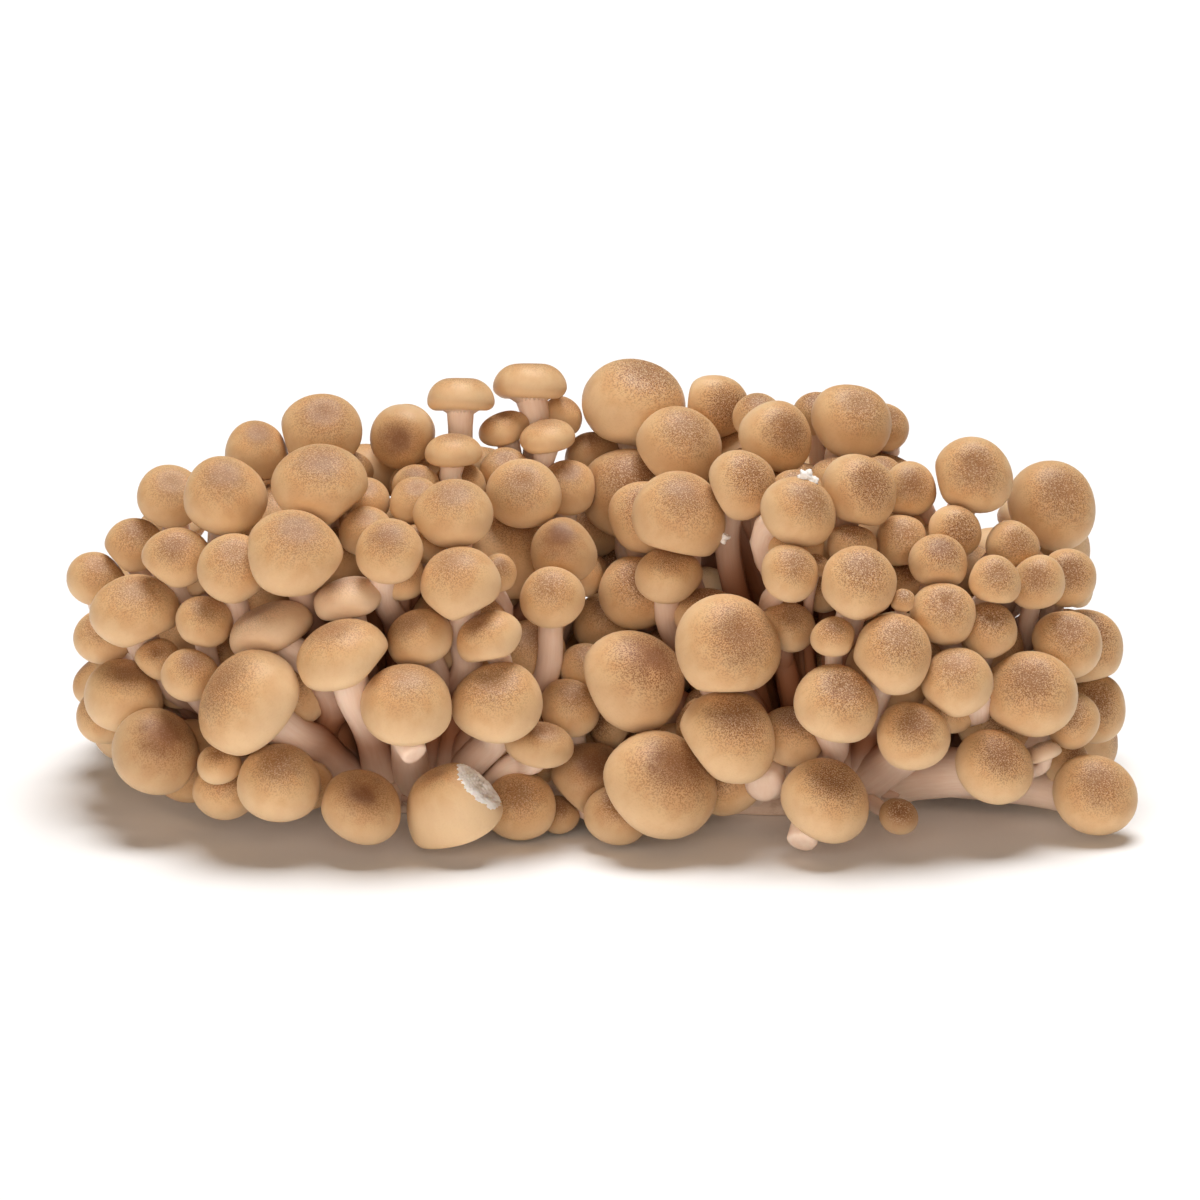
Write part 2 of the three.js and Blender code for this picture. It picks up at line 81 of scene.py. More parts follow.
@dataclass(frozen=True)
class Lobe:
    """Half of the heap: the ellipsoid of its cap centres and the root that its stems grow from."""

    name: str
    centre: np.ndarray
    half: np.ndarray
    root: np.ndarray
    root_half: np.ndarray


def lobe(name, *places):
    """One lobe from its plain rows of millimetres."""
    return Lobe(name, *(np.array(place, float) for place in places))


RIGHT = lobe("right", (48, 2, 13), (56, 45, 61), (46, 1), (37, 26))
LEFT = lobe("left", (-46, 2, 13), (57, 45, 59), (-36, 0), (36, 26))

# One row for a cap, nearest first: across, up, width, lean across, lean up and, where given, how
# much nearer it then comes and how many times as thick its stem is.
RIGHT_CAPS = (
    (25.2, 22.6, 21.8, 0.33, 0.42), (25.3, 4.6, 19.8, 0.30, 0.55), (15.8, 48.3, 19.3, 0.20, 0.58),
    (11.8, -5.0, 23.2, 0.38, 0.52, 7), (85.7, 13.2, 18.4, -0.04, 0.45),
    (58.0, 21.0, 16.6, 0.18, 0.52), (46.8, 11.0, 17.3, 0.28, 0.60),
    (98.4, -6.9, 17.0, 0.15, 0.45, 0, 1.15), (44.7, -8.2, 17.8, 0.30, 0.60),
    (78.3, -1.2, 15.9, 0.30, 0.50, 0, 1.6), (62.1, 4.9, 14.6, 0.04, 0.50, 0, 1.5),
    (74.3, 56.7, 16.0, 0.10, 0.35), (90.2, 50.7, 18.3, 0.28, 0.42), (51.4, 35.1, 15.8, 0.15, 0.55),
    (68.2, 29.1, 13.5, 0.12, 0.50), (50.0, 67.3, 16.2, 0.30, 0.55), (15.7, 62.0, 17.4, 0.25, 0.55),
    (35.0, 64.4, 15.2, 0.48, 0.30), (39.3, 49.2, 15.0, 0.35, 0.50), (51.4, 53.4, 15.4, 0.40, 0.35),
    (13.7, 36.1, 14.1, 0.06, 0.85), (6.3, 15.6, 22.0, 0.42, 0.60), (70.9, 15.5, 14.7, -0.08, 0.60),
    (93.0, 23.0, 14.3, 0.10, 0.50), (67.2, 39.3, 12.2, 0.20, 0.60, 2),
    (37.6, 37.2, 11.9, 0.25, 0.50), (37.4, 26.6, 11.2, 0.20, 0.65), (27.9, 54.8, 14.2, 0.35, 0.42),
    (77.3, 25.7, 12.0, 0.10, 0.60), (78.4, 35.7, 10.8, 0.20, 0.45),
    (87.0, 35.4, 11.3, -0.05, 0.35), (61.6, 54.0, 11.5, 0.25, 0.35),
    (9.4, 48.4, 15.6, -0.05, 0.50), (70.2, 45.3, 11.3, 0.30, 0.20), (60.1, 43.5, 11.3, 0.15, 0.50),
    (23.0, 70.6, 13.6, 0.45, 0.10), (6.6, 70.4, 21.2, 0.30, 0.82), (50.0, 42.5, 10.4, 0.10, 0.80),
    (93.1, 36.3, 12.0, 0.15, 0.35), (82.0, 42.6, 10.8, 0.30, 0.30), (93.9, 8.1, 11.6, -0.05, 0.40),
    (46.4, 24.5, 9.0, 0.00, 0.60), (37.8, 4.5, 13.4, 0.20, 0.70), (7.0, 33.3, 15.4, 0.15, 0.50),
    (5.4, 52.8, 19.4, 0.10, 0.50), (96.0, 22.2, 16.6, 0.20, 0.50), (98.4, 10.2, 13.8, 0.10, 0.30),
    (21.0, 28.9, 12.6, 0.00, 0.75), (59.3, -11.0, 7.8, 0.10, 0.50),
    (31.7, 68.2, 10.6, -0.05, 0.75), (43.6, 69.0, 9.9, -0.10, 0.75), (57.1, 66.4, 9.8, 0.35, 0.50),
    (39.1, 53.1, 10.8, 0.10, 0.75), (56.3, 56.8, 8.8, 0.10, 0.80), (60.1, 31.7, 5.2, 0.10, 0.60),
    (42.9, 38.7, 5.2, 0.22, 0.70), (88.4, 1.4, 7.0, -0.30, 0.93),
    (1.0, 39.5, 17.0, 0.00, 0.50, -12), (42.0, 22.0, 14.0, 0.10, 0.60, -14),
)
LEFT_CAPS = (
    (-60.9, 40.9, 19.4, 0.06, 0.68), (-55.6, 54.6, 19.6, 0.02, 0.75),
    (-38.5, 10.4, 19.0, -0.03, 0.78), (-20.3, 11.2, 18.0, -0.15, 0.66),
    (-69.4, 11.2, 22.4, -0.68, 0.54), (-27.6, 34.7, 16.7, -0.20, 0.72),
    (-51.0, 20.2, 18.8, -0.30, 0.86), (-92.6, 29.2, 17.7, 0.03, 0.74),
    (-74.6, 52.2, 17.0, 0.02, 0.62), (-29.3, -9.4, 18.8, -0.38, 0.86),
    (-47.4, -9.2, 16.4, 0.15, 0.60), (-63.6, -4.8, 17.0, 0.08, 0.62),
    (-88.5, 1.6, 18.2, 0.30, 0.50), (-29.1, 48.8, 16.0, -0.08, 0.72),
    (-15.2, 53.1, 15.2, -0.06, 0.50), (-41.6, 41.3, 14.1, -0.08, 0.60),
    (-73.2, 38.0, 14.6, 0.08, 0.55), (-84.3, 40.3, 13.3, 0.00, 0.55),
    (-55.6, 65.0, 16.8, 0.08, 0.60), (-15.7, -9.2, 14.8, -0.05, 0.50, -5),
    (-21.9, 24.0, 13.3, -0.40, 0.75), (-35.6, 24.0, 13.7, -0.38, 0.68),
    (-9.5, 32.3, 13.0, -0.06, 0.50), (-94.9, 12.2, 16.6, 0.10, 0.80),
    (-65.2, 25.4, 17.6, -0.42, 0.88, 2), (-81.6, 16.8, 11.6, 0.10, 0.60),
    (-78.7, 27.3, 11.8, 0.10, 0.68), (-93.1, 42.6, 12.0, 0.05, 0.62),
    (-85.8, 52.6, 13.8, 0.04, 0.60), (-10.6, 64.1, 11.8, -0.15, 0.95),
    (-19.0, 65.9, 10.6, -0.30, 0.90), (-29.2, 61.2, 11.8, 0.00, 0.97),
    (-39.5, 64.6, 13.2, -0.22, -0.05), (-27.8, 71.8, 14.0, 0.00, 1.00, -3),
    (-14.0, 74.4, 15.4, 0.00, 1.00, -9), (-50.0, 31.4, 14.0, -0.26, 0.93),
    (-12.0, 2.7, 13.2, 0.10, 0.88), (-100.7, 36.0, 11.9, 0.15, 0.60),
    (-68.5, 61.1, 13.2, 0.15, 0.72), (-88.0, 20.0, 9.4, 0.00, 0.60),
    (-99.0, 24.4, 12.0, -0.20, 0.60), (-98.3, 9.0, 12.6, -0.20, 0.50),
    (-75.6, -0.9, 9.2, 0.00, 0.75), (-74.4, -5.2, 13.8, -0.10, 0.50),
    (-7.2, 41.3, 13.7, -0.12, 0.50), (-20.4, 37.3, 8.0, 0.30, 0.50),
    (-46.7, 45.6, 11.0, -0.05, 0.70), (-36.7, 51.3, 10.8, 0.00, 0.70),
    (-27.9, 54.8, 10.6, 0.00, 0.75), (-36.5, 54.4, 9.7, 0.05, 0.75),
    (-46.6, 51.7, 10.0, 0.10, 0.70), (-18.8, 57.4, 10.8, 0.00, 0.70),
    (-6.4, 54.2, 12.0, 0.00, 0.70, 12), (-49.9, 57.8, 9.2, 0.20, 0.80),
    (-1.4, 60.2, 11.6, 0.00, 0.90), (-7.8, 68.5, 8.8, 0.55, 0.75), (-6.1, 10.3, 12.4, 0.15, 0.60),
    (-3.0, 18.3, 10.8, 0.10, 0.70), (-1.8, -4.0, 16.4, 0.15, 0.60), (3.2, -11.0, 12.8, 0.15, 0.60),
    (-8.0, -10.7, 8.4, 0.00, 0.60), (-38.9, 65.8, 12.0, 0.10, 0.70),
    (-84.0, 13.8, 8.4, 0.00, 0.70), (-2.5, 46.0, 15.0, 0.10, 0.60, -4),
    (1.0, 27.0, 13.0, 0.10, 0.60, -4), (-14.0, 21.0, 15.0, 0.10, 0.60, -14),
)

# The torn cap: its place on the chart, the way across, up and back in which a side of it has come
# off, and how far from its middle the torn face lies, in radii. The torn face looks a little more
# to the front than the solid's and lies 0.02 radii nearer the cap's middle.
TORN_CAP = (-29.3, -9.4)
TORN_WAY = (0.65, 0.66, -0.37)
TORN_AT = 0.78

# Where light passes right through the heap: across and up on the charted face.
LIGHT_GAPS = ((-77.4, 44), (-82.2, 33.2), (-83, 10.4), (-72.8, -4.6), (41.6, 61), (65, 51),
              (84, 28), (77, 48), (71.5, 50.5))
# Where the charted face opens on stems: across, up, radius. Grown caps keep behind a depth there.
STEM_GAPS = ((62, -3, 7), (50, 1, 5), (71, -4, 5), (-53, 4, 5), (-41, 2, 5), (-31, 2, 3),
             (-46, 10, 4), (-11, 20, 4), (26, 41, 4), (33, 11, 4), (-48, 27, 3), (35, 30, 4),
             (45, 26, 3), (68, -6, 4))
STEM_GAP_DEPTH = -5

GROWTH = ((4000, 18, 22), (3400, 14, 18), (1200, 10, 13))      # tries, least and largest width
GROWTH_SEED = 7
SHELLS = (1, 0.92, 0.84, 0.76, 0.66)        # how deep under the lobe's surface a cap may sit
HEIGHTS = (-0.05, 1)        # of grown caps in their lobe, from its middle to its top
GROWN_OUT, GROWN_UP, GROWN_ASKEW = 0.9, 0.45, 0.5      # how far one faces out, up and at random
# Spots on a cap's disc, in radii, of which a cap before the charted face may show only a few.
SAMPLES = np.array([(0, 0), (0.7, 0), (-0.7, 0), (0, 0.7), (0, -0.7), (0.5, 0.5), (-0.5, 0.5),
                    (0.5, -0.5), (-0.5, -0.5)])
SAMPLES_SHOWN = 3
OUTLINE_SPOTS = np.array([-0.95, -0.6, 0, 0.6, 0.95])      # places across a cap, in radii


@dataclass
class Heap:
    """Every mushroom of the cluster: one row of each array for a cap."""

    lobes: list
    centre: np.ndarray
    radius: np.ndarray
    axis: np.ndarray
    flat: np.ndarray            # across, up and depth of the centre on the tilted face
    stout: np.ndarray           # how many times the usual thickness each stem has
    charted: int                # how many of the first rows are charted, the rest are grown
    torn: int                   # the torn cap's row


@dataclass(frozen=True)
class Grown:
    """What every operator works from: the heap, its caps' forms and its stems, in millimetres."""

    heap: Heap
    forms: dict
    thick: np.ndarray           # of the stems
    paths: np.ndarray           # of the stems
    softness: float             # rounding where caps meet
    press_room: float           # between caps that meet


def number_stream(seed):
    """Repeatable numbers from 0 to 1: a 32-bit counter is scrambled by shifts and products."""
    word = 0xFFFFFFFF
    state = seed
    while True:
        state = (state + 0x6D2B79F5) & word
        mixed = ((state ^ (state >> 15)) * (state | 1)) & word
        mixed ^= (mixed + (((mixed ^ (mixed >> 7)) * (mixed | 61)) & word)) & word
        yield ((mixed ^ (mixed >> 14)) & word) / 4294967296


def unit(vectors):
    """Each vector divided by its length."""
    return vectors / np.linalg.norm(vectors, axis=-1, keepdims=True)


def face_point(across, up, depth):
    """Place in the heap's frame of a point on the tilted face: across, up it, and behind it."""
    return across * ACROSS + up * FACE_UP + depth * FACE_IN


def lobe_depth(shape, across, up):
    """Depth at which the line of sight first meets the lobe's ellipsoid, or passes nearest it."""
    start = (face_point(across, up, 0) - shape.centre) / shape.half
    along = FACE_IN / shape.half
    a, b = along @ along, start @ along
    return (-b - math.sqrt(max(0.0, b * b - a * (start @ start - 1)))) / a


def reach(radii, facing):
    """How far a cap's spheroid reaches in a direction whose cosine with its axis is `facing`:
    its radius divided by the root of 1 + squash * facing^2."""
    return radii / np.sqrt(1 + (1 / CAP_FLATNESS ** 2 - 1) * facing ** 2)


def clear_of(centre, radius, axis, centres, radii, axes):
    """True where a cap clears the others. A cap fills a spheroid, flatter along its axis, and two
    are clear where their middles lie further apart than the spheroids reach to each other."""
    gap = centres + CAP_MIDDLE * radii[:, None] * axes - centre - CAP_MIDDLE * radius * axis
    apart = np.maximum(np.linalg.norm(gap, axis=1), TINY)
    way = gap / apart[:, None]
    both = reach(radius, way @ axis) + reach(radii, np.sum(way * axes, axis=1))
    return apart >= CAP_SPACING * both


def charted_rows():
    """Charted caps start on the lobe's surface and slide back until they clear the nearer ones."""
    rows = []
    centres, radii, axes = np.zeros((0, 3)), np.zeros(0), np.zeros((0, 3))
    for shape, chart in ((RIGHT, RIGHT_CAPS), (LEFT, LEFT_CAPS)):
        for across, up_on_chart, width, lean_across, lean_up, *more in chart:
            up, radius = up_on_chart + FACE_LIFT, width / 2
            on_table = (up * math.cos(FACE_TILT) - TABLE_CLEARANCE * radius) / math.sin(FACE_TILT)
            depth = lobe_depth(shape, across, up)
            lean = math.hypot(lean_across, lean_up)
            axis = unit(face_point(lean_across, lean_up, -math.sqrt(max(0.0, 1 - lean * lean))))
            while depth < on_table and not np.all(
                    clear_of(face_point(across, up, depth), radius, axis, centres, radii, axes)):
                depth += SLIDE_STEP
            nearer, stout = (*more, *(0.0, 1.0)[len(more):])
            depth = min(depth, on_table) - nearer
            rows.append((shape, across, up, depth, radius, axis, stout))
            centres = np.vstack([centres, face_point(across, up, depth)])
            radii, axes = np.append(radii, radius), np.vstack([axes, axis])
    return rows


def grown_rows(rows):
    """Caps tried at random places of the lobes' shells fill the back, the ends and the depth.

    A try is kept where it clears every other cap, stays under the charted outline and leaves the
    charted face and the light gaps alone.
    """
    draw = number_stream(GROWTH_SEED)
    room = len(rows) + sum(tries for tries, _, _ in GROWTH)
    centres, radii, axes = np.zeros((room, 3)), np.zeros(room), np.zeros((room, 3))
    flat = np.array([row[1:4] for row in rows])
    charted_radii = np.array([row[4] for row in rows])
    count = len(rows)
    centres[:count] = [face_point(*row[1:4]) for row in rows]
    radii[:count] = charted_radii
    axes[:count] = [row[5] for row in rows]
    tops = np.sqrt(1 - OUTLINE_SPOTS ** 2)

    def skyline(across):
        off = across[:, None] - flat[:, 0]
        over = np.abs(off) < charted_radii
        height = flat[:, 1] + np.sqrt(np.where(over, charted_radii ** 2 - off ** 2, 0))
        return np.where(over, height, -np.inf).max(axis=1)

    grown = []
    for tries, narrow, wide in GROWTH:
        for _ in range(tries):
            shape = RIGHT if next(draw) < 0.5 else LEFT
            around = next(draw) * 2 * math.pi
            height = HEIGHTS[0] + next(draw) * (HEIGHTS[1] - HEIGHTS[0])
            radius = (narrow + next(draw) * (wide - narrow)) / 2
            askew = np.array([next(draw) - 0.5 for _ in range(3)])
            level = math.sqrt(1 - height * height)
            way = np.array([level * math.cos(around), level * math.sin(around), height])
            axis = unit(way / shape.half) * GROWN_OUT + np.array([0, 0, GROWN_UP])
            axis = unit(axis + askew * GROWN_ASKEW)
            for shell in SHELLS:
                centre = way * shape.half * shell + shape.centre
                centre[2] = max(centre[2], TABLE_CLEARANCE * radius)
                if not np.all(clear_of(centre, radius, axis, centres[:count], radii[:count],
                                       axes[:count])):
                    continue
                across, up, depth = centre[0], centre @ FACE_UP, centre @ FACE_IN
                if any(math.hypot(across - x, up - y - FACE_LIFT) < radius for x, y in LIGHT_GAPS):
                    continue
                if depth < STEM_GAP_DEPTH and any(
                        math.hypot(across - x, up - y - FACE_LIFT) < radius + wide_gap
                        for x, y, wide_gap in STEM_GAPS):
                    continue
                if not np.all(up + radius * tops < skyline(across + radius * OUTLINE_SPOTS)):
                    continue
                before = flat[:, 2] < depth
                spots = np.array([across, up]) + SAMPLES * radius
                spread = np.linalg.norm(spots[:, None] - flat[None, :, :2], axis=2)
                shown = np.sum(~np.any(before & (spread < charted_radii), axis=1))
                aside = np.hypot(across - flat[:, 0], up - flat[:, 1])
                hides = np.any((depth < flat[:, 2]) & (aside < radius + charted_radii))
                if shown > SAMPLES_SHOWN and hides:
                    continue
                grown.append((shape, across, up, depth, radius, axis, 1.0))
                centres[count], radii[count], axes[count] = centre, radius, axis
                count += 1
                break
    return grown


def grow_heap():
    """Places every mushroom: the charted ones first, then the grown ones."""
    rows = charted_rows()
    charted = len(rows)
    rows += grown_rows(rows)
    flat = np.array([row[1:4] for row in rows])
    spot = np.array(TORN_CAP) + (0, FACE_LIFT)
    return Heap(
        lobes=[row[0] for row in rows],
        centre=flat[:, :1] * ACROSS + flat[:, 1:2] * FACE_UP + flat[:, 2:] * FACE_IN,
        radius=np.array([row[4] for row in rows]),
        axis=np.array([row[5] for row in rows]),
        flat=flat,
        stout=np.array([row[6] for row in rows]),
        charted=charted,
        torn=int(np.argmin(np.linalg.norm(flat[:, :2] - spot, axis=1))),
    )


# ---- meshes ------------------------------------------------------------------------------------
def wheel(rows, turns):
    """Faces of a closed body of rings: a pole, rows of `turns` points each, and a second pole.

    Gives the triangles round both poles and the four-sided faces between the rings.
    """
    around = np.arange(turns)
    after = (around + 1) % turns
    last = 1 + rows * turns
    first_fan = np.stack([np.zeros(turns, int), 1 + around, 1 + after], axis=1)
    last_fan = np.stack([np.full(turns, last), last - turns + after, last - turns + around], axis=1)
    start = 1 + np.arange(rows - 1)[:, None] * turns
    bands = np.stack([start + around, start + turns + around, start + turns + after, start + after],
                     axis=-1).reshape(-1, 4)
    return np.concatenate([first_fan, last_fan]), bands


def body_points(first_pole, rings, last_pole):
    """Points of many closed bodies, body by body: pole, rings one after another, pole."""
    bodies = len(rings)
    return np.concatenate([first_pole[:, None], rings.reshape(bodies, -1, rings.shape[-1]),
                           last_pole[:, None]], axis=1)


def write_mesh(name, bodies, rows, turns, attributes, material):
    """One object of many closed bodies of rings, with its attributes on the points.

    `bodies` is (body, point, 3) in the heap's millimetres. The object stands at the origin.
    """
    count, points, _ = bodies.shape
    shift = np.arange(count)[:, None, None] * points
    triangles, quads = ((faces + shift).reshape(-1, faces.shape[1]) for faces in wheel(rows, turns))
    corners = np.concatenate([triangles.ravel(), quads.ravel()])
    totals = np.concatenate([np.full(len(triangles), 3), np.full(len(quads), 4)])
    mesh = bpy.data.meshes.new(name)
    mesh.vertices.add(count * points)
    mesh.vertices.foreach_set("co", ((bodies + TO_MIDDLE) * MM).astype(np.float32).ravel())
    mesh.loops.add(len(corners))
    mesh.loops.foreach_set("vertex_index", corners.astype(np.int32))
    mesh.polygons.add(len(totals))
    mesh.polygons.foreach_set("loop_start", (np.cumsum(totals) - totals).astype(np.int32))
    mesh.polygons.foreach_set("loop_total", totals.astype(np.int32))
    mesh.update(calc_edges=True)
    mesh.polygons.foreach_set("use_smooth", np.ones(len(totals), bool))
    for label, values in attributes.items():
        kind, field = ("FLOAT", "value") if values.ndim == 2 else ("FLOAT_VECTOR", "vector")
        layer = mesh.attributes.new(label, kind, "POINT")
        layer.data.foreach_set(field, values.astype(np.float32).ravel())
    mesh.materials.append(material)
    mesh.validate()
    piece = bpy.data.objects.new(name, mesh)
    bpy.context.scene.collection.objects.link(piece)
    return piece


def square_to(axis):
    """Two unit vectors square to each axis and to each other."""
    helper = np.where(np.abs(axis[:, 2:]) > 0.9, ACROSS, UP)
    first = unit(np.cross(helper, axis))
    return first, np.cross(axis, first)


def settle(overshoot, softness):
    """How far a soft thing is pushed back where it passes a plane: a rounded ramp."""
    return softness * np.logaddexp(0, overshoot / softness)


def press_caps(points, own, members):
    """Flattens each cap softly where it meets another: both keep to their side of the plane
    between them. Of what their spheroids overlap the nearer cap gives way by the smaller share,
    and the table flattens it too."""
    heap = own.heap
    middles = heap.centre + CAP_MIDDLE * heap.radius[:, None] * heap.axis
    for row, which in enumerate(members):
        gaps = middles - middles[which]
        apart = np.maximum(np.linalg.norm(gaps, axis=1), TINY)
        ways = gaps / apart[:, None]
        mine = reach(heap.radius[which], ways @ heap.axis[which])
        others = reach(heap.radius, np.sum(ways * heap.axis, axis=1))
        share = np.where(heap.flat[:, 2] > heap.flat[which, 2], NEARER_YIELDS, 1 - NEARER_YIELDS)
        planes = mine - share * (mine + others - apart)
        near = (apart > TINY) & (apart < PRESS_REACH * (mine + others))
        for other in np.flatnonzero(near):
            beyond = (points[row] - middles[which]) @ ways[other] - planes[other]
            points[row] -= settle(beyond + own.press_room, own.softness)[:, None] * ways[other]
    return on_table(points, own.softness)


def on_table(points, softness):
    """Points that would pass through the table lie on it, with a rounded edge."""
    low = points[..., 2]
    points[..., 2] = np.where(low < 4 * softness, settle(low, softness * 0.5), low)
    return points


# ---- caps --------------------------------------------------------------------------------------
CAP_TURNS = 44
DOME_RINGS = 13
LIP_RINGS = 8
LIP_TURN = math.radians(128)        # how far the margin rolls down and in
INNER_POLE = 0.16           # depth under the widest ring at which a cap closes inside, in radii
INNER_RUN = 2.2             # the run from the crown that is given to that point
PRESS_REACH = 1.1           # caps press on each other up to this distance: 1 = they touch
NEARER_YIELDS = 0.15        # share of an overlap by which the nearer cap gives way
DIMPLE_WIDTH = 0.36         # of the hollow in the crown, in radii
DROOP = 0.03                # how far the margin hangs lower at two sides, in radii
SHAPE_SEED = 11
# The torn cap is a bell whose margin has not rolled in.
TORN_CAP_FORM = (("dome", 1.26), ("shoulder", 0.85), ("lip_depth", 0.2), ("lip_width", 0.1),
                 ("drop", 0.3))
# Caps that differ: across, up, how much. Pale ones, flat ones, old brown ones that are partly
# painted shade, and dark crowns deepened partly as painted shade.
PALE_CAPS = ((88.4, 1.4, 0.5), (-50.0, 31.4, 0.3), (-65.2, 25.4, 0.25))
FLAT_CAPS = ((-27.8, 71.8, 1), (-14.0, 74.4, 1), (-29.2, 61.2, 1), (-10.6, 64.1, 1),
             (-19.0, 65.9, 1), (-65.2, 25.4, 1), (-50.0, 31.4, 1), (88.4, 1.4, 1),
             (13.7, 36.1, 0.5), (-51.0, 20.2, 0.4), (-12.0, 2.7, 0.8))
# old brown caps: partly their own age, partly painted shade on caps that sit in shade
AGE_AND_SHADE_CAPS = ((59.3, -11.0, 0.6), (-88.5, 1.6, 0.3), (-1.8, -4.0, 0.45), (-1.4, 60.2, 0.4),
             (3.2, -11.0, 0.3), (-8.0, -10.7, 0.3), (-39.5, 64.6, 0.2), (11.8, -5.0, 0.12),
             (6.3, 15.6, 0.12), (-47.4, -9.2, 0.2), (5.4, 52.8, 0.25), (-12.0, 2.7, 0.25),
             (-7.2, 41.3, 0.3))
# crowns made darker partly for their pigment, partly as painted shade
DARK_AND_SHADED_CROWNS = ((-88.5, 1.6, 1.4), (-47.4, -9.2, 1.5), (-39.5, 64.6, 1.25), (-7.2, 41.3, 1.4),
               (-63.6, -4.8, 0.9), (-60.9, 40.9, 0.9), (-55.6, 54.6, 0.9), (-55.6, 65.0, 1.0),
               (-94.9, 12.2, 1.0), (11.8, -5.0, 1.2), (6.3, 15.6, 1.3), (-1.8, -4.0, 1.2),
               (-12.0, 2.7, 1.0), (25.3, 4.6, 1.0), (-29.1, 48.8, 0.8), (46.8, 11.0, 0.8))
SAME_PLACE = 0.1            # mm on the chart
LEFT_SPECKLE = 0.7          # the left lobe's caps are smoother
SKIN_LABELS = ("pale", "age_and_shade", "crown", "speckle")


def cap_forms(heap):
    """How each cap differs from the plain one, drawn once for the whole heap."""
    draw = np.random.default_rng(SHAPE_SEED)
    count = len(heap.radius)
    places = heap.flat[:, :2] - (0, FACE_LIFT)

    def listed(spots):
        apart = np.hypot(*(places[:, None] - np.array(spots)[None, :, :2]).transpose(2, 0, 1))
        return np.sum((apart < SAME_PLACE) * np.array(spots)[:, 2], axis=1)

    flat = listed(FLAT_CAPS)
    is_left = np.array([of is LEFT for of in heap.lobes])
    forms = {
        "dome": draw.uniform(0.78, 0.93, count) * (1 - 0.2 * flat),
        "shoulder": draw.uniform(0.82, 0.96, count),
        "lip_depth": draw.uniform(0.36, 0.46, count) * (1 - 0.25 * flat),
        "lip_width": draw.uniform(0.30, 0.38, count),
        "waves": draw.uniform(0.2, 1, (count, 3)) * np.array([0.045, 0.028, 0.014]),
        "phases": draw.uniform(0, 2 * math.pi, (count, 5)),
        "askew": draw.uniform(0, 0.09, count),
        # where its patterns start: the second of two draws, the first isn't used
        "offset": draw.uniform(0, 400, (2, count))[1],
        "dimple": draw.uniform(-0.02, 0.1, count),
        "crown": np.maximum(draw.uniform(0.55, 1.0, count), listed(DARK_AND_SHADED_CROWNS)),
        "speckle": draw.uniform(0.8, 1.15, count) * np.where(is_left, LEFT_SPECKLE, 1.0),
        "pale": listed(PALE_CAPS),
        "age_and_shade": listed(AGE_AND_SHADE_CAPS),
        "drop": np.zeros(count),
    }
    for label, value in TORN_CAP_FORM:
        forms[label][heap.torn] = value
    return forms


def cap_points(own, members, turns, dome_rings, lip_rings):
    """Caps as closed bodies of rings, with the run from the crown and the place on the skin.

    The half section is a superellipse dome, radius sin(t)^shoulder and height dome * cos(t) less a
    soft hollow dimple * exp(-(radius / width)^2) in the crown, then a margin that follows an
    ellipse down, in and back up, and closes inside. The radius is multiplied by 1 + a sum of small
    cosine waves of 2, 3 and 4 lobes, and the crown leans aside.
    """
    heap, forms = own.heap, own.forms

    def of(label):
        return forms[label][members][:, None, None]

    crown = np.linspace(0, math.pi / 2, dome_rings + 1)[1:][None, :, None]
    lip = np.linspace(0, LIP_TURN, lip_rings + 1)[1:][None, :, None]
    out = np.concatenate([np.sin(crown) ** of("shoulder"),
                          1 - of("lip_width") * (1 - np.cos(lip))], axis=1)
    hollow = of("dimple") * np.exp(-(out[:, :dome_rings] / DIMPLE_WIDTH) ** 2)
    rise = np.concatenate([of("dome") * np.cos(crown) - hollow,
                           -of("lip_depth") * np.sin(lip)], axis=1)
    turn = np.linspace(0, 2 * math.pi, turns, endpoint=False)[None, None, :]
    phases = forms["phases"][members][:, :, None, None]
    waves = forms["waves"][members][:, :, None, None]
    swell = sum(waves[:, k] * np.cos((k + 2) * turn + phases[:, k]) for k in range(3))
    inside = np.minimum(out, 1.0)
    spread = out * (1 + swell * inside)
    droop = DROOP * np.cos(2 * turn + phases[:, 3]) * inside ** 2
    height = rise + droop - of("drop")
    lean = of("askew") * np.maximum(rise, 0)
    flat_x = spread * np.cos(turn) + lean * np.cos(phases[:, 4])
    flat_y = spread * np.sin(turn) + lean * np.sin(phases[:, 4])

    axis, centre, radius = heap.axis[members], heap.centre[members], heap.radius[members][:, None]
    first, second = square_to(axis)
    local = (flat_x[..., None] * first[:, None, None] + flat_y[..., None] * second[:, None, None]
             + height[..., None] * axis[:, None, None])
    rings = centre[:, None, None] + radius[:, None, None] * local
    dome = (forms["dome"] - forms["dimple"] - forms["drop"])[members][:, None]
    aside = (np.cos(phases[:, 4, 0]) * first + np.sin(phases[:, 4, 0]) * second)
    top = centre + radius * (dome * axis + dome * forms["askew"][members][:, None] * aside)
    points = body_points(top, rings, centre - INNER_POLE * radius * axis)

    steps = np.sqrt(np.diff(out[..., 0], axis=1, prepend=0) ** 2
                    + np.diff(rise[..., 0], axis=1, prepend=dome) ** 2)
    run = np.broadcast_to(np.cumsum(steps, axis=1)[:, :, None], (*steps.shape, turns))[..., None]
    ends = np.zeros(len(members))
    way = np.stack([np.cos(turn[0, 0]), np.sin(turn[0, 0])], axis=-1)
    offsets = forms["offset"][members]
    start = np.broadcast_to(offsets[:, None, None, None], run.shape)
    skin = np.concatenate([run * way * radius[:, None, None], start], axis=-1)
    pole = np.stack([ends, ends, offsets], axis=1)
    return (points, body_points(ends[:, None], run, (ends + INNER_RUN)[:, None])[..., 0],
            body_points(pole, skin, pole))


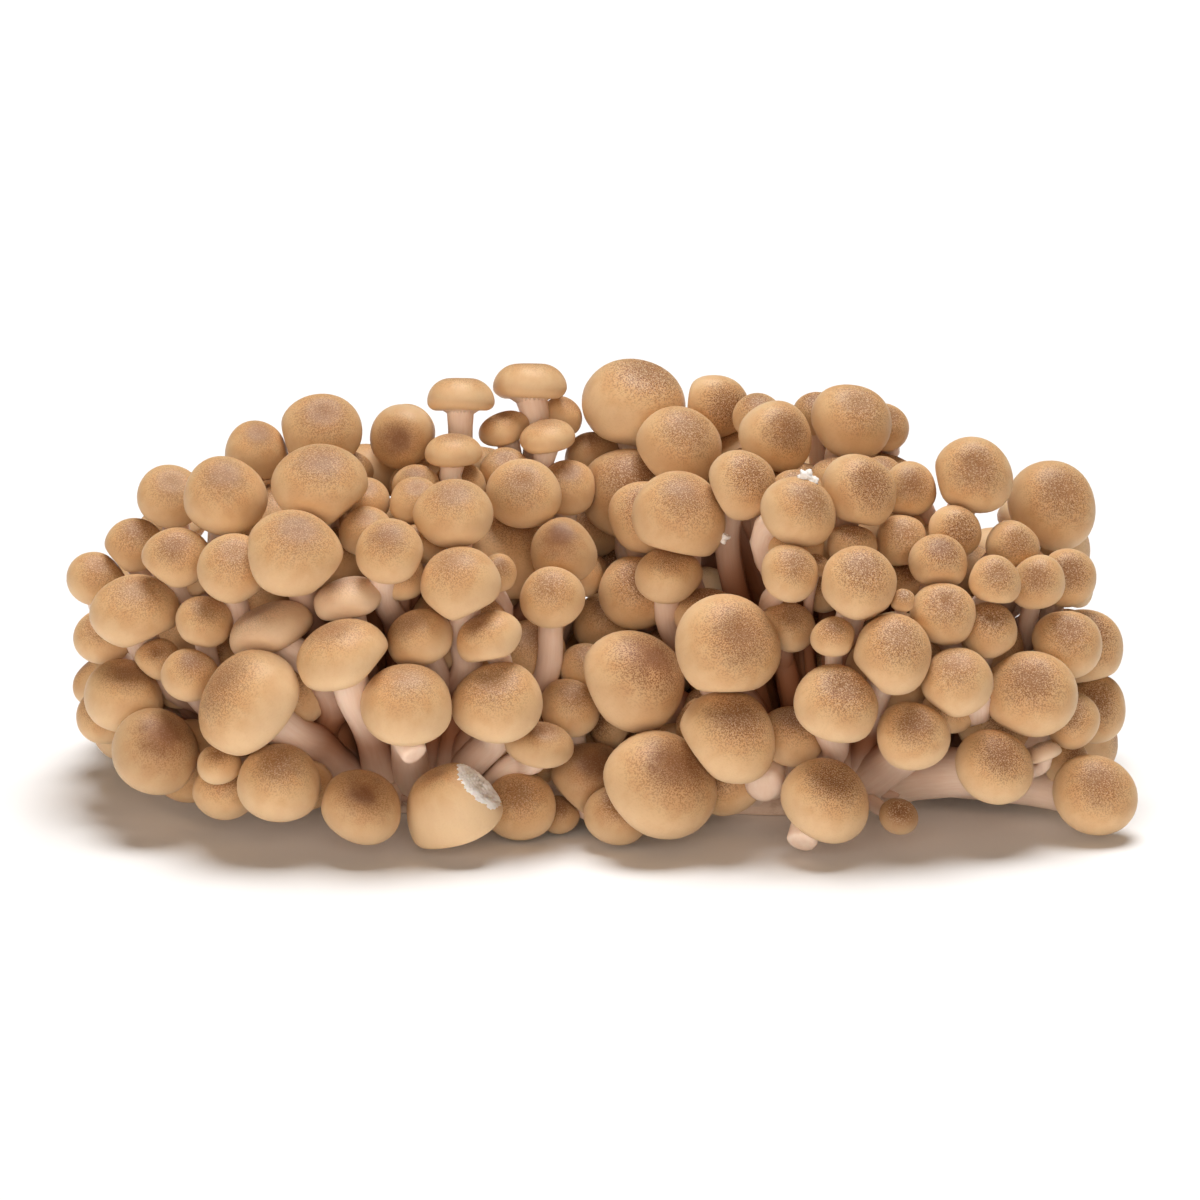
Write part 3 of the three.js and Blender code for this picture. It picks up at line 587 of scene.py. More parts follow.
def cap_piece(name, own, members, material):
    """The caps of one part of a lobe, pressed against each other, with what their skin reads: the
    run from the crown in radii, the place on the unrolled skin, and how the cap differs."""
    points, run, skin = cap_points(own, members, CAP_TURNS, DOME_RINGS, LIP_RINGS)
    marks = {label: np.broadcast_to(own.forms[label][members][:, None], run.shape)
             for label in SKIN_LABELS}
    return write_mesh(name, press_caps(points, own, members), DOME_RINGS + LIP_RINGS, CAP_TURNS,
                      {"run": run, "skin": skin, **marks}, material)


TORN_TURNS, TORN_DOME_RINGS, TORN_LIP_RINGS = 150, 56, 24
TEAR_ROUGH = 0.22           # depth of the torn flesh's fine bumps, in mm


def torn_points(own):
    """The torn cap: what lies beyond a plane is moved square onto it, and the plane is made
    uneven by sums of sines, so that a ragged face of flesh shows. The face is marked 1."""
    torn, members = own.heap.torn, np.array([own.heap.torn])
    points, run, skin = cap_points(own, members, TORN_TURNS, TORN_DOME_RINGS, TORN_LIP_RINGS)
    points = press_caps(points, own, members)
    way = unit(face_point(*TORN_WAY))
    local = points[0] - own.heap.centre[torn]
    x, y, z = local @ ACROSS, local @ FACE_UP, local @ FACE_IN
    wavy = (0.28 * np.sin(x * 1.3 + 1) * np.cos(y * 1.7)
            + 0.14 * np.sin(x * 4.1) * np.sin(y * 3.7 + z * 2))
    rough = (np.sin(x * 5.1) * np.sin(y * 4.3 + z * 3) + np.sin(x * 9.7 + 2) * np.sin(y * 11.3))
    beyond = local @ way - TORN_AT * own.heap.radius[torn] - wavy
    off = beyond > 0
    push = np.where(off, beyond + TEAR_ROUGH * rough * np.minimum(beyond, 1), 0)
    points[0] -= push[:, None] * way
    return on_table(points, own.softness), run, skin, off.astype(float)[None]


# ---- stems and gills ---------------------------------------------------------------------------
STEM_TURNS = 14
STEM_RINGS = 20
STEM_TOP = 0.15             # depth of a stem's upper end under the cap's widest ring, in cap radii
STEM_FOOT = 4.0             # height of its lower end in the root
STEM_GATHER = 0.6           # how far out of the root's middle it ends: 1 = as far as its cap hangs
# Handles of a stem's curve, as shares of its run: under the cap and over the root, for most caps
# and for low ones. Over the root a stem rises more than it spreads.
LEAVE, LEAVE_LOW = 0.38, 0.45
RISE, RISE_LOW = 0.38, 0.25
RISE_WAY = np.array([0.5, 0.5, 1.2])
PUSH_ROUNDS = 6             # rounds in which stems are pushed out of the other caps and smoothed
PUSH_ROOM = 0.92            # room that a cap claims, in its radii
PUSH_MOST = 3.0             # largest push of a round
PUSH_SHARE = 0.7            # how much of it is done
SMOOTHING = 0.25            # how far each point moves to its neighbours' mean
UNDERSIDE = 0.7             # a stem's upper end stays over this depth under its cap, in radii
# How much wider a stem is at its foot and under its cap, and the run of that, as a share.
FOOT_SWELL, TOP_SWELL, TOP_SWELL_RUN = 0.22, 0.25, 0.06
STEM_WAVES = (0.05, 0.035, 0.05)        # of 2 and 3 lobes round the stem and along it, in radii
PAINTED_SHADE_FROM, PAINTED_SHADE_RUN = 7.0, 12.0         # heights over which the painted shade of flesh deep in a lobe fades in above the table
FLESH_SOFTNESS = 0.2        # rounding where a stem or a gill lies on the table
GILL_TURNS = 48
# A gill disc's half section from its upper face out to the margin and down to the stem: radius and
# height, in cap radii, how far every second ray is lifted there, and how deep the two poles lie.
GILL_SECTION = ((0.40, -0.10), (0.56, -0.14), (0.55, -0.26), (0.46, -0.31), (0.36, -0.38),
                (0.24, -0.48))
GILL_GROOVES = (0, 0, 0.03, 0.07, 0.07, 0.05)
GILL_TOP, GILL_BOTTOM = 0.02, 0.50
GILL_LIP, GILL_WIDEN = 0.34, 0.9        # gills reach further out under a lip narrower than this


def stem_roots(heap):
    """Where each stem ends in the root: under its cap's side, nearer the middle."""
    middle = np.array([shape.root for shape in heap.lobes])
    half = np.array([shape.root_half for shape in heap.lobes])
    way = (heap.centre[:, :2] - middle) / half * STEM_GATHER
    length = np.linalg.norm(way, axis=1, keepdims=True)
    way *= np.minimum(1, ROOT_REACH / np.maximum(length, TINY))
    return np.concatenate([middle + way * half, np.full((len(middle), 1), STEM_FOOT)], axis=1)


def stem_paths(heap, thick):
    """Middle lines of all stems, (stem, point, 3): a cubic Bezier curve that leaves the cap along
    its axis and comes down on the root, pushed out of the other caps and smoothed."""
    top = heap.centre - STEM_TOP * heap.radius[:, None] * heap.axis
    root = stem_roots(heap)
    run = np.linalg.norm(top - root, axis=1, keepdims=True)
    low = heap.centre[:, 2:] < LOW_CAPS_BELOW
    leave = top - np.where(low, LEAVE_LOW, LEAVE) * run * heap.axis
    leave[:, 2] = np.maximum(leave[:, 2], (top[:, 2] + root[:, 2]) / 2)
    rise = root + np.where(low, RISE_LOW, RISE) * (top - root) * RISE_WAY
    t = np.linspace(0, 1, STEM_RINGS)[None, :, None]
    path = ((1 - t) ** 3 * top[:, None] + 3 * (1 - t) ** 2 * t * leave[:, None]
            + 3 * (1 - t) * t ** 2 * rise[:, None] + t ** 3 * root[:, None])
    row = np.arange(len(top))
    for _ in range(PUSH_ROUNDS):
        away = path[:, :, None] - heap.centre[None, None]
        apart = np.linalg.norm(away, axis=-1)
        short = np.maximum(PUSH_ROOM * heap.radius[None, None] + thick[:, None, None] - apart, 0)
        short[row, :, row] = 0
        push = (away / np.maximum(apart, TINY)[..., None] * short[..., None]).sum(axis=2)
        length = np.linalg.norm(push, axis=-1, keepdims=True)
        push *= np.minimum(1, PUSH_MOST / np.maximum(length, TINY))
        path[:, 1:-1] += PUSH_SHARE * push[:, 1:-1]
        path[:, 1:-1] += SMOOTHING * (path[:, 2:] + path[:, :-2] - 2 * path[:, 1:-1])
    under = np.maximum(heap.centre[:, 2] - UNDERSIDE * heap.radius - STEM_CLEARANCE, 0)[:, None]
    least = thick[:, None] + STEM_CLEARANCE + under * (1 - t[:, :, 0])
    path[..., 2] = np.maximum(path[..., 2], least)
    return path


def carry(path, radii, turns):
    """Rings carried along many paths: each ring lies square to its path, and its first direction
    is the last ring's, freed of what points along the path, so that the tube doesn't twist."""
    along = unit(np.gradient(path, axis=1))
    first = np.empty_like(path)
    first[:, 0] = square_to(along[:, 0])[0]
    for ring in range(1, path.shape[1]):
        carried = first[:, ring - 1]
        carried = carried - np.sum(carried * along[:, ring], axis=1, keepdims=True) * along[:, ring]
        first[:, ring] = unit(carried)
    second = np.cross(along, first)
    turn = np.linspace(0, 2 * math.pi, turns, endpoint=False)
    circle = (np.cos(turn)[None, None, :, None] * first[:, :, None]
              - np.sin(turn)[None, None, :, None] * second[:, :, None])
    return path[:, :, None] + circle * radii[..., None]


def inwards(heap, members, points):
    """How far inside its lobe each point lies: 0 on the ellipsoid of the cap centres, 1 in its
    middle, and fading to 0 near the table. It sets how much painted shade the stems get."""
    centre = np.array([heap.lobes[row].centre for row in members])[:, None]
    half = np.array([heap.lobes[row].half for row in members])[:, None]
    inside = 1 - np.linalg.norm((points - centre) / half, axis=-1)
    return inside * np.clip((points[..., 2] - PAINTED_SHADE_FROM) / PAINTED_SHADE_RUN, 0, 1)


def stem_points(own, members):
    """Stems as closed tubes: the radius swells a little towards the root and under the cap, and
    waves gently round and along the stem. Gives also the place along the fibres and how deep in
    its lobe each point lies, which sets the stems' painted shade."""
    heap, path, thick = own.heap, own.paths[members], own.thick[members][:, None, None]
    t = np.linspace(0, 1, STEM_RINGS)[None, :, None]
    turn = np.linspace(0, 2 * math.pi, STEM_TURNS, endpoint=False)[None, None, :]
    phase = own.forms["phases"][members][:, :, None, None]
    round_twice, round_thrice, along = STEM_WAVES
    uneven = (round_twice * np.cos(2 * turn + phase[:, 0] + 3 * t)
              + round_thrice * np.cos(3 * turn + phase[:, 1] - 2 * t)
              + along * np.cos(5.5 * t + phase[:, 2]))
    swell = 1 + FOOT_SWELL * t ** 2 + TOP_SWELL * np.exp(-t / TOP_SWELL_RUN)
    rings = carry(path, thick * swell * (1 + uneven), STEM_TURNS)
    lengths = np.linalg.norm(np.diff(path, axis=1), axis=-1)
    down = np.concatenate([np.zeros((len(members), 1)), np.cumsum(lengths, axis=1)], axis=1)
    down = down[:, :, None, None] + own.forms["offset"][members][:, None, None, None]
    around = np.stack([np.cos(turn[0]), np.sin(turn[0])], axis=-1)[None] * thick[..., None]
    fibre = np.concatenate([np.broadcast_to(around, (*rings.shape[:3], 2)),
                            np.broadcast_to(down, (*rings.shape[:3], 1))], axis=-1)
    points = on_table(body_points(path[:, 0], rings, path[:, -1]), FLESH_SOFTNESS)
    return (points, body_points(fibre[:, 0, 0], fibre, fibre[:, -1, 0]),
            inwards(heap, members, points))


def gill_points(own, members):
    """Gills as closed discs under the caps: the half section falls from the margin's inner edge
    to the stem, and every second ray is lifted, so that blades stand between grooves."""
    heap, section = own.heap, np.array(GILL_SECTION)
    turn = np.linspace(0, 2 * math.pi, GILL_TURNS, endpoint=False)
    rise = section[:, 1:] + np.array(GILL_GROOVES)[:, None] * (np.arange(GILL_TURNS) % 2)
    lip = own.forms["lip_width"][members][:, None, None]
    out = section[:, :1] * (1 + (GILL_LIP - lip) * GILL_WIDEN) * np.ones_like(turn)
    axis, centre, radius = heap.axis[members], heap.centre[members], heap.radius[members][:, None]
    first, second = square_to(axis)
    local = ((out * np.cos(turn))[..., None] * first[:, None, None]
             + (out * np.sin(turn))[..., None] * second[:, None, None]
             + rise[None, ..., None] * axis[:, None, None])
    rings = centre[:, None, None] + radius[:, None, None] * local
    top, bottom = (centre - depth * radius * axis for depth in (GILL_TOP, GILL_BOTTOM))
    return on_table(body_points(top, rings, bottom), FLESH_SOFTNESS)


# ---- root --------------------------------------------------------------------------------------
ROOT_TURNS = 200
# Rings of the root's side from the cut face up: share of the outline and height.
ROOT_RINGS = ((0.30, 0.0), (0.55, 0.0), (0.74, 0.0), (0.765, 0.15), (0.79, 0.7), (0.82, 1.8),
              (0.87, 3.2), (0.93, 4.4), (0.98, 5.4), (1.0, 6.2))
ROOT_MIDDLE = np.array([5.0, 1.0])
ROOT_BLOCKS = ((-36, 0, 34, 23), (46, 1, 35, 23), (5, 1, 28, 15))       # ellipses: middle, halves
ROOT_JOIN = 2.5             # softness of the joint between them
ROOT_HEIGHT = 9.0
ROOT_TOP_RINGS = 12
ROUGH_FROM, ROUGH_RUN = 0.1, 3.0        # heights over which the side becomes uneven


def root_points():
    """The root where all stems have grown together, one closed body round a point between the
    lobes. Its outline is the furthest of three ellipses in each direction, softly joined, with
    bulges: sums of sines of the direction. Its side widens upward from the flat cut face, and its
    top is domed and lumpy: sums of sines of the place."""
    turn = -np.linspace(0, 2 * math.pi, ROOT_TURNS, endpoint=False)
    way = np.stack([np.cos(turn), np.sin(turn)], axis=1)
    exits = []
    for x, y, half_x, half_y in ROOT_BLOCKS:
        half = np.array([half_x, half_y])
        start, along = (ROOT_MIDDLE - (x, y)) / half, way / half
        a, b = np.sum(along ** 2, axis=1), along @ start
        inside = b * b - a * (start @ start - 1)
        exits.append(np.where(inside > 0, (-b + np.sqrt(np.maximum(inside, 0))) / a, 0))
    outline = np.log(np.sum(np.exp(np.array(exits) / ROOT_JOIN), axis=0)) * ROOT_JOIN
    bulges = 0.6 * np.abs(np.sin(turn * 21)) + 0.5 * np.sin(turn * 9 + 1) + 0.4 * np.sin(turn * 33)
    side = np.array(ROOT_RINGS)
    top_turn = np.linspace(0, math.pi / 2, ROOT_TOP_RINGS + 1)[1:-1]
    share = np.concatenate([side[:, 0], np.cos(top_turn)])[:, None]
    shoulder = side[-1, 1]
    lift = np.concatenate([side[:, 1], shoulder + (ROOT_HEIGHT - shoulder) * np.sin(top_turn)])
    rough = np.clip((lift - ROUGH_FROM) / ROUGH_RUN, 0, 1)[:, None]
    out = share * outline + rough * bulges * share
    x, y = ROOT_MIDDLE[0] + out * way[:, 0], ROOT_MIDDLE[1] + out * way[:, 1]
    lumps = 0.7 * np.sin(x * 0.9) * np.cos(y * 0.8 + 1) + 0.4 * np.sin(x * 1.7 + y * 1.3)
    rings = np.stack([x, y, lift[:, None] + rough * lumps], axis=-1)[None]
    first, last = (np.array([[*ROOT_MIDDLE, height]]) for height in (0.0, ROOT_HEIGHT))
    return body_points(first, rings, last), len(share)


# ---- small things ------------------------------------------------------------------------------
SMALL_TURNS = 24
# Loose ends of stems: across, up and depth of the far end, then of the near end, and radius.
STEM_ENDS = (
    ((34.5, 11.0, -24.0), (32.5, 0.3, -38.0), 3.8),
    ((42.0, -4.0, -40.0), (40.0, -10.4, -44.0), 3.1),
    ((-40.5, 13.0, -44.0), (-36.6, 7.0, -48.5), 2.6),
)
# Rings of the even part of such an end and where it stops, then the rings that close it: how far
# along they lie and how wide they are, as shares.
END_RINGS, END_EVEN = 10, 0.9
CLOSE_ALONG, CLOSE_WIDTHS = (0.96, 0.99, 1.0), (0.93, 0.72, 0.4)
# Scraps of flesh torn from caps: across, up, depth and size.
SCRAPS = ((40.9, 62.7, -41.0, 1.4), (42.4, 61.4, -41.0, 1.0), (24.3, 50.4, -30.0, 1.2))
SCRAP_ROWS = 13
SCRAP_FORM = np.array([1, 0.6, 0.8])


def end_points(radius, start, end):
    """A stem's loose end: a tube between two places, closed by a low uneven dome."""
    t = np.concatenate([np.linspace(0, END_EVEN, END_RINGS), CLOSE_ALONG])
    path = (start[None] + (end - start)[None] * t[:, None])[None]
    close = np.concatenate([np.ones(END_RINGS), CLOSE_WIDTHS])
    turn = np.linspace(0, 2 * math.pi, SMALL_TURNS, endpoint=False)
    uneven = 1 + 0.05 * np.cos(2 * turn + 1) + 0.04 * np.cos(3 * turn + 2)
    rings = carry(path, (radius * close[:, None] * uneven)[None], SMALL_TURNS)
    return body_points(path[:, 0], rings, path[:, -1])


def scrap_points(centre, size, phase):
    """A scrap: a ball whose radius is 1 + a sum of sines of its own directions, pulled flat."""
    fall = np.linspace(0, math.pi, SCRAP_ROWS + 2)[1:-1, None]
    turn = np.linspace(0, 2 * math.pi, SMALL_TURNS, endpoint=False)[None]
    x, y, z = np.sin(fall) * np.cos(turn), np.sin(fall) * np.sin(turn), np.cos(fall) + 0 * turn
    bumpy = (1 + 0.3 * np.sin(3 * x + phase) * np.cos(4 * y) + 0.3 * np.sin(5 * z + 4 * x + phase)
             + 0.2 * np.sin(9 * y + 7 * z))
    ball = np.stack([x, y, z], axis=-1) * SCRAP_FORM * bumpy[..., None]
    pole = size * SCRAP_FORM * UP
    return body_points(centre[None] + pole, (centre + size * ball)[None], centre[None] - pole)


# ---- materials ---------------------------------------------------------------------------------
SMOOTH = {"interpolation_type": "SMOOTHSTEP"}
COLOUR_MIX = {"data_type": "RGBA"}
RELIEF_DEPTH = 0.12 * MM    # of flecks and fibres
GRAIN_DEPTH = 0.3 * MM      # of the root's grain


def linear(hex_colour):
    """Linear RGB of an sRGB colour written as six hex digits."""
    srgb = [int(hex_colour[i:i + 2], 16) / 255 for i in (0, 2, 4)]
    return tuple(c / 12.92 if c <= 0.04045 else ((c + 0.055) / 1.055) ** 2.4 for c in srgb)


def new_material(name):
    """A material with an empty node tree."""
    material = bpy.data.materials.new(name)
    material.use_nodes = True
    material.node_tree.nodes.clear()
    return material


def add(material, kind, inputs, output=0, **settings):
    """Adds one node and gives one of its outputs: `settings` are its properties, and `inputs` its
    sockets' values or the sockets that they are linked from."""
    tree = material.node_tree
    node = tree.nodes.new("ShaderNode" + kind)
    for label, value in settings.items():
        setattr(node, label, value)
    for label, value in inputs.items():
        socket = node.inputs[label]
        if isinstance(value, bpy.types.NodeSocket):
            tree.links.new(value, socket)
        else:
            socket.default_value = (*value, 1.0) if socket.type == "RGBA" else value
    return node.outputs[output] if node.outputs else None


def paint(material, colour, layers, **settings):
    """Lays colours over each other. A layer is its colour, rows of ramps and amounts, and the
    product of all of them says how much of it shows. A ramp is a socket, the range that it is
    read in and, where it isn't from 0 to 1, the range that comes out."""
    for over, ramps, amounts in layers:
        share, *others = [add(material, "MapRange", dict(enumerate(ramp)), **settings)
                          for ramp in ramps] + amounts
        for other in others:
            share = add(material, "Math", {0: share, 1: other}, operation="MULTIPLY")
        colour = add(material, "Mix", {0: share, 6: colour, 7: over}, 2, **COLOUR_MIX)
    return colour


def fresh_cap_skin(colours, with_tear=False):
    """Fresh beech mushroom cap skin, grown smooth over the flesh: tan, paler at the rolled-in
    margin, with a grey-brown crown that breaks up into fine dark and light flecks drawn out from
    its middle. It gives the eye a soft, slightly moist gloss."""
    material = new_material("torn_cap_skin" if with_tear else "fresh_cap_skin")
    run, crowned, speckle, pale, age_and_shade = (
        add(material, "Attribute", {}, "Fac", attribute_name=label)
        for label in ("run", "crown", "speckle", "pale", "age_and_shade"))
    skin = add(material, "Attribute", {}, "Vector", attribute_name="skin")
    # the skin's place as rays round the crown, 20 units out, lifted with the way down the side
    x, y, offset = add(material, "SeparateXYZ", {0: skin}).node.outputs
    level = add(material, "CombineXYZ", {0: x, 1: y})
    ray = add(material, "VectorMath", {0: level}, operation="NORMALIZE")
    ray = add(material, "VectorMath", {0: ray, "Scale": 20.0}, operation="SCALE")
    length = add(material, "VectorMath", {0: level}, "Value", operation="LENGTH")
    along = add(material, "Math", {0: length, 1: 2.9, 2: offset}, operation="MULTIPLY_ADD")
    lift = add(material, "CombineXYZ", {2: along})
    polar = add(material, "VectorMath", {0: ray, 1: lift}, operation="ADD")
    # flecks about 0.3 mm wide and 0.4 mm long, a little coarser than real ones
    streaks = add(material, "TexNoise", {"Vector": polar, "Scale": 1.0, "Detail": 2.0,
                                         "Roughness": 0.6})
    # round flecks of 0.3 mm
    grains = add(material, "TexNoise", {"Vector": skin, "Scale": 3.4, "Detail": 1.0})
    # cloudy patches of 4 mm
    clouds = add(material, "TexNoise", {"Vector": skin, "Scale": 0.25, "Detail": 2.0})
    ragged = add(material, "Math", {0: clouds, 1: 0.9, 2: run}, operation="MULTIPLY_ADD")
    # the flecks crowd towards the crown and thin out down the side
    crowd = add(material, "MapRange", {0: run, 1: 0.1, 2: 1.5, 3: 1.0, 4: 0.0}, **SMOOTH)
    dense = add(material, "Math", {0: crowd, 1: 0.09, 2: streaks}, operation="MULTIPLY_ADD")
    layers = [
        (colours.cap_warm, [(clouds, 0.35, 0.65)], []),
        (colours.cap_rim, [(run, 0.7, 1.65)], [0.75]),
        # crown pigment; on the listed dark crowns it is deepened partly as painted shade
        (colours.cap_crown, [(ragged, 0.5, 1.25, 1.0, 0.0)], [crowned, 0.6]),
        # age and painted shade: the listed caps darken from the crown down
        (colours.cap_age_and_shade, [(run, 0.3, 2.0, 1.0, 0.45)], [age_and_shade]),
        (colours.fleck_dark, [(dense, 0.53, 0.63), (run, 0.3, 1.15, 0.85, 0.05)], [speckle]),
        (colours.fleck_light, [(grains, 0.55, 0.64), (run, 0.3, 1.1, 0.5, 0.0),
                               (crowned, 0.7, 1.4, 1.0, 0.2)], [speckle]),
        (colours.stem, [], [pale, 0.8]),
    ]
    if with_tear:
        torn = add(material, "Attribute", {}, "Fac", attribute_name="torn")
        layers.append((colours.torn_flesh, [(torn, 0.3, 0.7)], []))
    colour = paint(material, colours.cap_body, layers, **SMOOTH)
    relief = add(material, "Mix", {0: 0.5, 2: streaks, 3: grains}, data_type="FLOAT")
    fade = add(material, "MapRange", {0: run, 1: 0.4, 2: 1.6, 3: 1.0, 4: 0.25}, **SMOOTH)
    relief = add(material, "Math", {0: relief, 1: fade}, operation="MULTIPLY")
    bump = add(material, "Bump", {"Strength": 0.35, "Distance": RELIEF_DEPTH, "Height": relief})
    shine = add(material, "MapRange", {0: grains, 1: 0.3, 2: 0.7, 3: 0.4, 4: 0.55}, **SMOOTH)
    shader = add(material, "BsdfPrincipled", {
        "Base Color": colour, "Roughness": shine, "IOR": 1.42, "Normal": bump,
        "Specular IOR Level": 0.3, "Subsurface Weight": 0.12, "Subsurface Scale": 1.6 * MM,
        "Subsurface Radius": (1.0, 0.5, 0.25),
    })
    add(material, "OutputMaterial", {"Surface": shader})
    return material


def stem_flesh(colours, name="stem_flesh", coordinates="fibre"):
    """Mushroom stem, grown as a bundle of long fibres under a thin smooth skin: creamy white with
    a breath of pink, faintly streaked lengthwise, matte and a little see-through. Deep in the
    cluster it is painted browner as shade, where little light reaches."""
    material = new_material(name)
    layers = []
    if coordinates == "fibre":
        place = add(material, "Attribute", {}, "Vector", attribute_name="fibre")
        stretch = (2.2, 2.2, 0.16)          # streaks 0.45 mm wide and 6 mm long
        # painted shade: stems deep inside the lobe turn browner, where little light reaches
        painted_shade = add(material, "Attribute", {}, "Fac", attribute_name="painted_shade")
        layers.append((colours.stem_painted_shade, [(painted_shade, 0.06, 0.4)], []))
    else:
        place = add(material, "TexCoord", {}, coordinates)
        stretch = (900.0, 900.0, 350.0)     # soft grain of about 1 mm
    scaled = add(material, "Mapping", {0: place, 3: stretch})
    streaks = add(material, "TexNoise", {"Vector": scaled, "Scale": 1.0, "Detail": 3.0,
                                         "Roughness": 0.55})
    layers.insert(0, (colours.stem_shade, [], [streaks]))
    bump = add(material, "Bump", {"Strength": 0.3, "Distance": RELIEF_DEPTH, "Height": streaks})
    shader = add(material, "BsdfPrincipled", {
        "Base Color": paint(material, colours.stem, layers, **SMOOTH), "Roughness": 0.5,
        "IOR": 1.4, "Normal": bump, "Specular IOR Level": 0.35, "Subsurface Weight": 0.2,
        "Subsurface Scale": 2.0 * MM, "Subsurface Radius": (1.0, 0.6, 0.4),
    })
    add(material, "OutputMaterial", {"Surface": shader})
    return material


def torn_flesh(colours):
    """Inside of a cap where it has been torn open: soft, dry, bright white flesh."""
    material = new_material("torn_flesh")
    shader = add(material, "BsdfPrincipled", {
        "Base Color": colours.torn_flesh, "Roughness": 0.8, "Specular IOR Level": 0.2,
        "Subsurface Weight": 0.3, "Subsurface Scale": 1.0 * MM,
        "Subsurface Radius": (1.0, 0.9, 0.8),
    })
    add(material, "OutputMaterial", {"Surface": shader})
    return material


def cut_root_flesh(colours):
    """Root of fused stems, sliced off with a knife: creamy flesh. On the flat cut the ends of the
    stems show as cells of about 5 mm with browner seams, and the side is stained here and there.
    Higher up, under the caps, it is painted browner as shade."""
    material = new_material("cut_root_flesh")
    place = add(material, "TexCoord", {}, "Object")
    place = add(material, "Mapping", {0: place, 3: (1 / MM, 1 / MM, 1 / MM)})      # in millimetres
    cells = add(material, "TexVoronoi", {"Vector": place, "Scale": 0.19}, "Distance",
                feature="DISTANCE_TO_EDGE")
    stains = add(material, "TexNoise", {"Vector": place, "Scale": 0.3, "Detail": 4.0})
    fine = add(material, "TexNoise", {"Vector": place, "Scale": 2.0, "Detail": 3.0})
    height = add(material, "SeparateXYZ", {0: place}, 2)
    colour = paint(material, colours.stem, [
        (colours.stem_shade, [], [fine]),
        (colours.root_stain, [(stains, 0.52, 0.75, 0.0, 0.55)], []),
        (colours.root_stain, [(cells, 0.02, 0.12, 1.0, 0.0), (height, 0.05, 0.3, 1.0, 0.0)], [0.5]),
        # painted shade: the root turns browner with height, under the caps
        (colours.stem_painted_shade, [(height, 2.0, 5.5, 0.0, 0.55)], []),
    ])
    bump = add(material, "Bump", {"Strength": 0.5, "Distance": GRAIN_DEPTH, "Height": fine})
    shader = add(material, "BsdfPrincipled", {"Base Color": colour, "Roughness": 0.62, "IOR": 1.4,
                                              "Normal": bump, "Specular IOR Level": 0.3})
    add(material, "OutputMaterial", {"Surface": shader})
    return material


def plain_floor(colours):
    """Plain pale floor: a matte painted board."""
    material = new_material("plain_pale_floor")
    shader = add(material, "BsdfPrincipled", {"Base Color": colours.floor, "Roughness": 0.9,
                                              "Specular IOR Level": 0.1})
    add(material, "OutputMaterial", {"Surface": shader})
    return material


# ---- what a user may change --------------------------------------------------------------------
def colour_property(name, description, hex_colour):
    """A colour shown in the panel."""
    return FloatVectorProperty(name=name, description=description, subtype="COLOR", size=3, min=0,
                               max=1, default=linear(hex_colour))


def size_property(name, description, millimetres):
    """A length shown in the panel: it is kept in metres."""
    return FloatProperty(name=name, description=description, default=millimetres * MM, min=0,
                         precision=5, subtype="DISTANCE", unit="LENGTH")


class ClusterSizes(bpy.types.PropertyGroup):
    """Sizes of the mushrooms and of the floor."""

    press_softness: size_property("Press softness", "Rounding where caps meet", 0.45)
    press_room: size_property("Press room", "Room kept between caps that meet", 0.05)
    stem_ratio: FloatProperty(name="Stem ratio", description="Stem radius in cap widths",
                              default=STEM_RATIO, min=0.05, max=0.3)
    stem_least: size_property("Least stem radius", "No stem is thinner", STEM_RADIUS_LEAST)
    floor_size: size_property("Floor size", "Width of the floor", 8000.0)


class ClusterColours(bpy.types.PropertyGroup):
    """Colours of the mushrooms and of the floor."""

    cap_body: colour_property("Cap body", "Tan of the cap's side", "d8b182")
    cap_warm: colour_property("Cap warm", "Warmer clouds on the cap", "d0a373")
    cap_rim: colour_property("Cap rim", "Paler rolled-in margin", "e6caa4")
    cap_crown: colour_property("Cap crown", "Grey-brown of the crown", "74431f")
    # dark brown of old caps, also painted shade on the caps that sit in shade
    cap_age_and_shade: colour_property("Cap aged", "Dark brown that old caps turn to", "6b452c")
    fleck_dark: colour_property("Dark flecks", "Dark flecks round the crown", "7a4a2c")
    fleck_light: colour_property("Light flecks", "Light flecks round the crown", "eccdab")
    stem: colour_property("Stem", "Creamy stem flesh", "fae6d6")
    stem_shade: colour_property("Stem streaks", "Pinkish streaks on the stem", "eaccb6")
    # painted shade of the stems deep in the cluster and of the root's top
    stem_painted_shade: colour_property("Stem deep down", "Browner flesh deep in the cluster", "a8704e")
    torn_flesh: colour_property("Torn flesh", "White flesh inside a cap", "fffcf8")
    root_stain: colour_property("Root stain", "Brown seams and stains of the root", "b08a66")
    floor: colour_property("Floor", "Pale floor", "f4f4f4")


# ---- operators ---------------------------------------------------------------------------------
@functools.lru_cache(maxsize=1)
def grow(softness, press_room, stem_ratio, stem_least):
    """The whole cluster in millimetres, worked out once for its sizes."""
    heap = grow_heap()
    thick = np.maximum(stem_least, stem_ratio * 2 * heap.radius * heap.stout)
    return Grown(heap, cap_forms(heap), thick, stem_paths(heap, thick), softness, press_room)


def grown(context):
    """The cluster that the panel's sizes give."""
    sizes = context.scene.mushroom_sizes
    return grow(sizes.press_softness / MM, sizes.press_room / MM, sizes.stem_ratio,
                sizes.stem_least / MM)


def bunches(heap):
    """Name and rows of each lobe's mushrooms."""
    for shape in (LEFT, RIGHT):
        yield shape.name, np.flatnonzero([of is shape for of in heap.lobes])


def settle_piece(piece, slot, *nodes):
    """Makes a piece ride with the cluster and hides the solids that it stands for. The slot, its
    finish, is not used.
    """
    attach(piece, "root")
    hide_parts(*nodes)


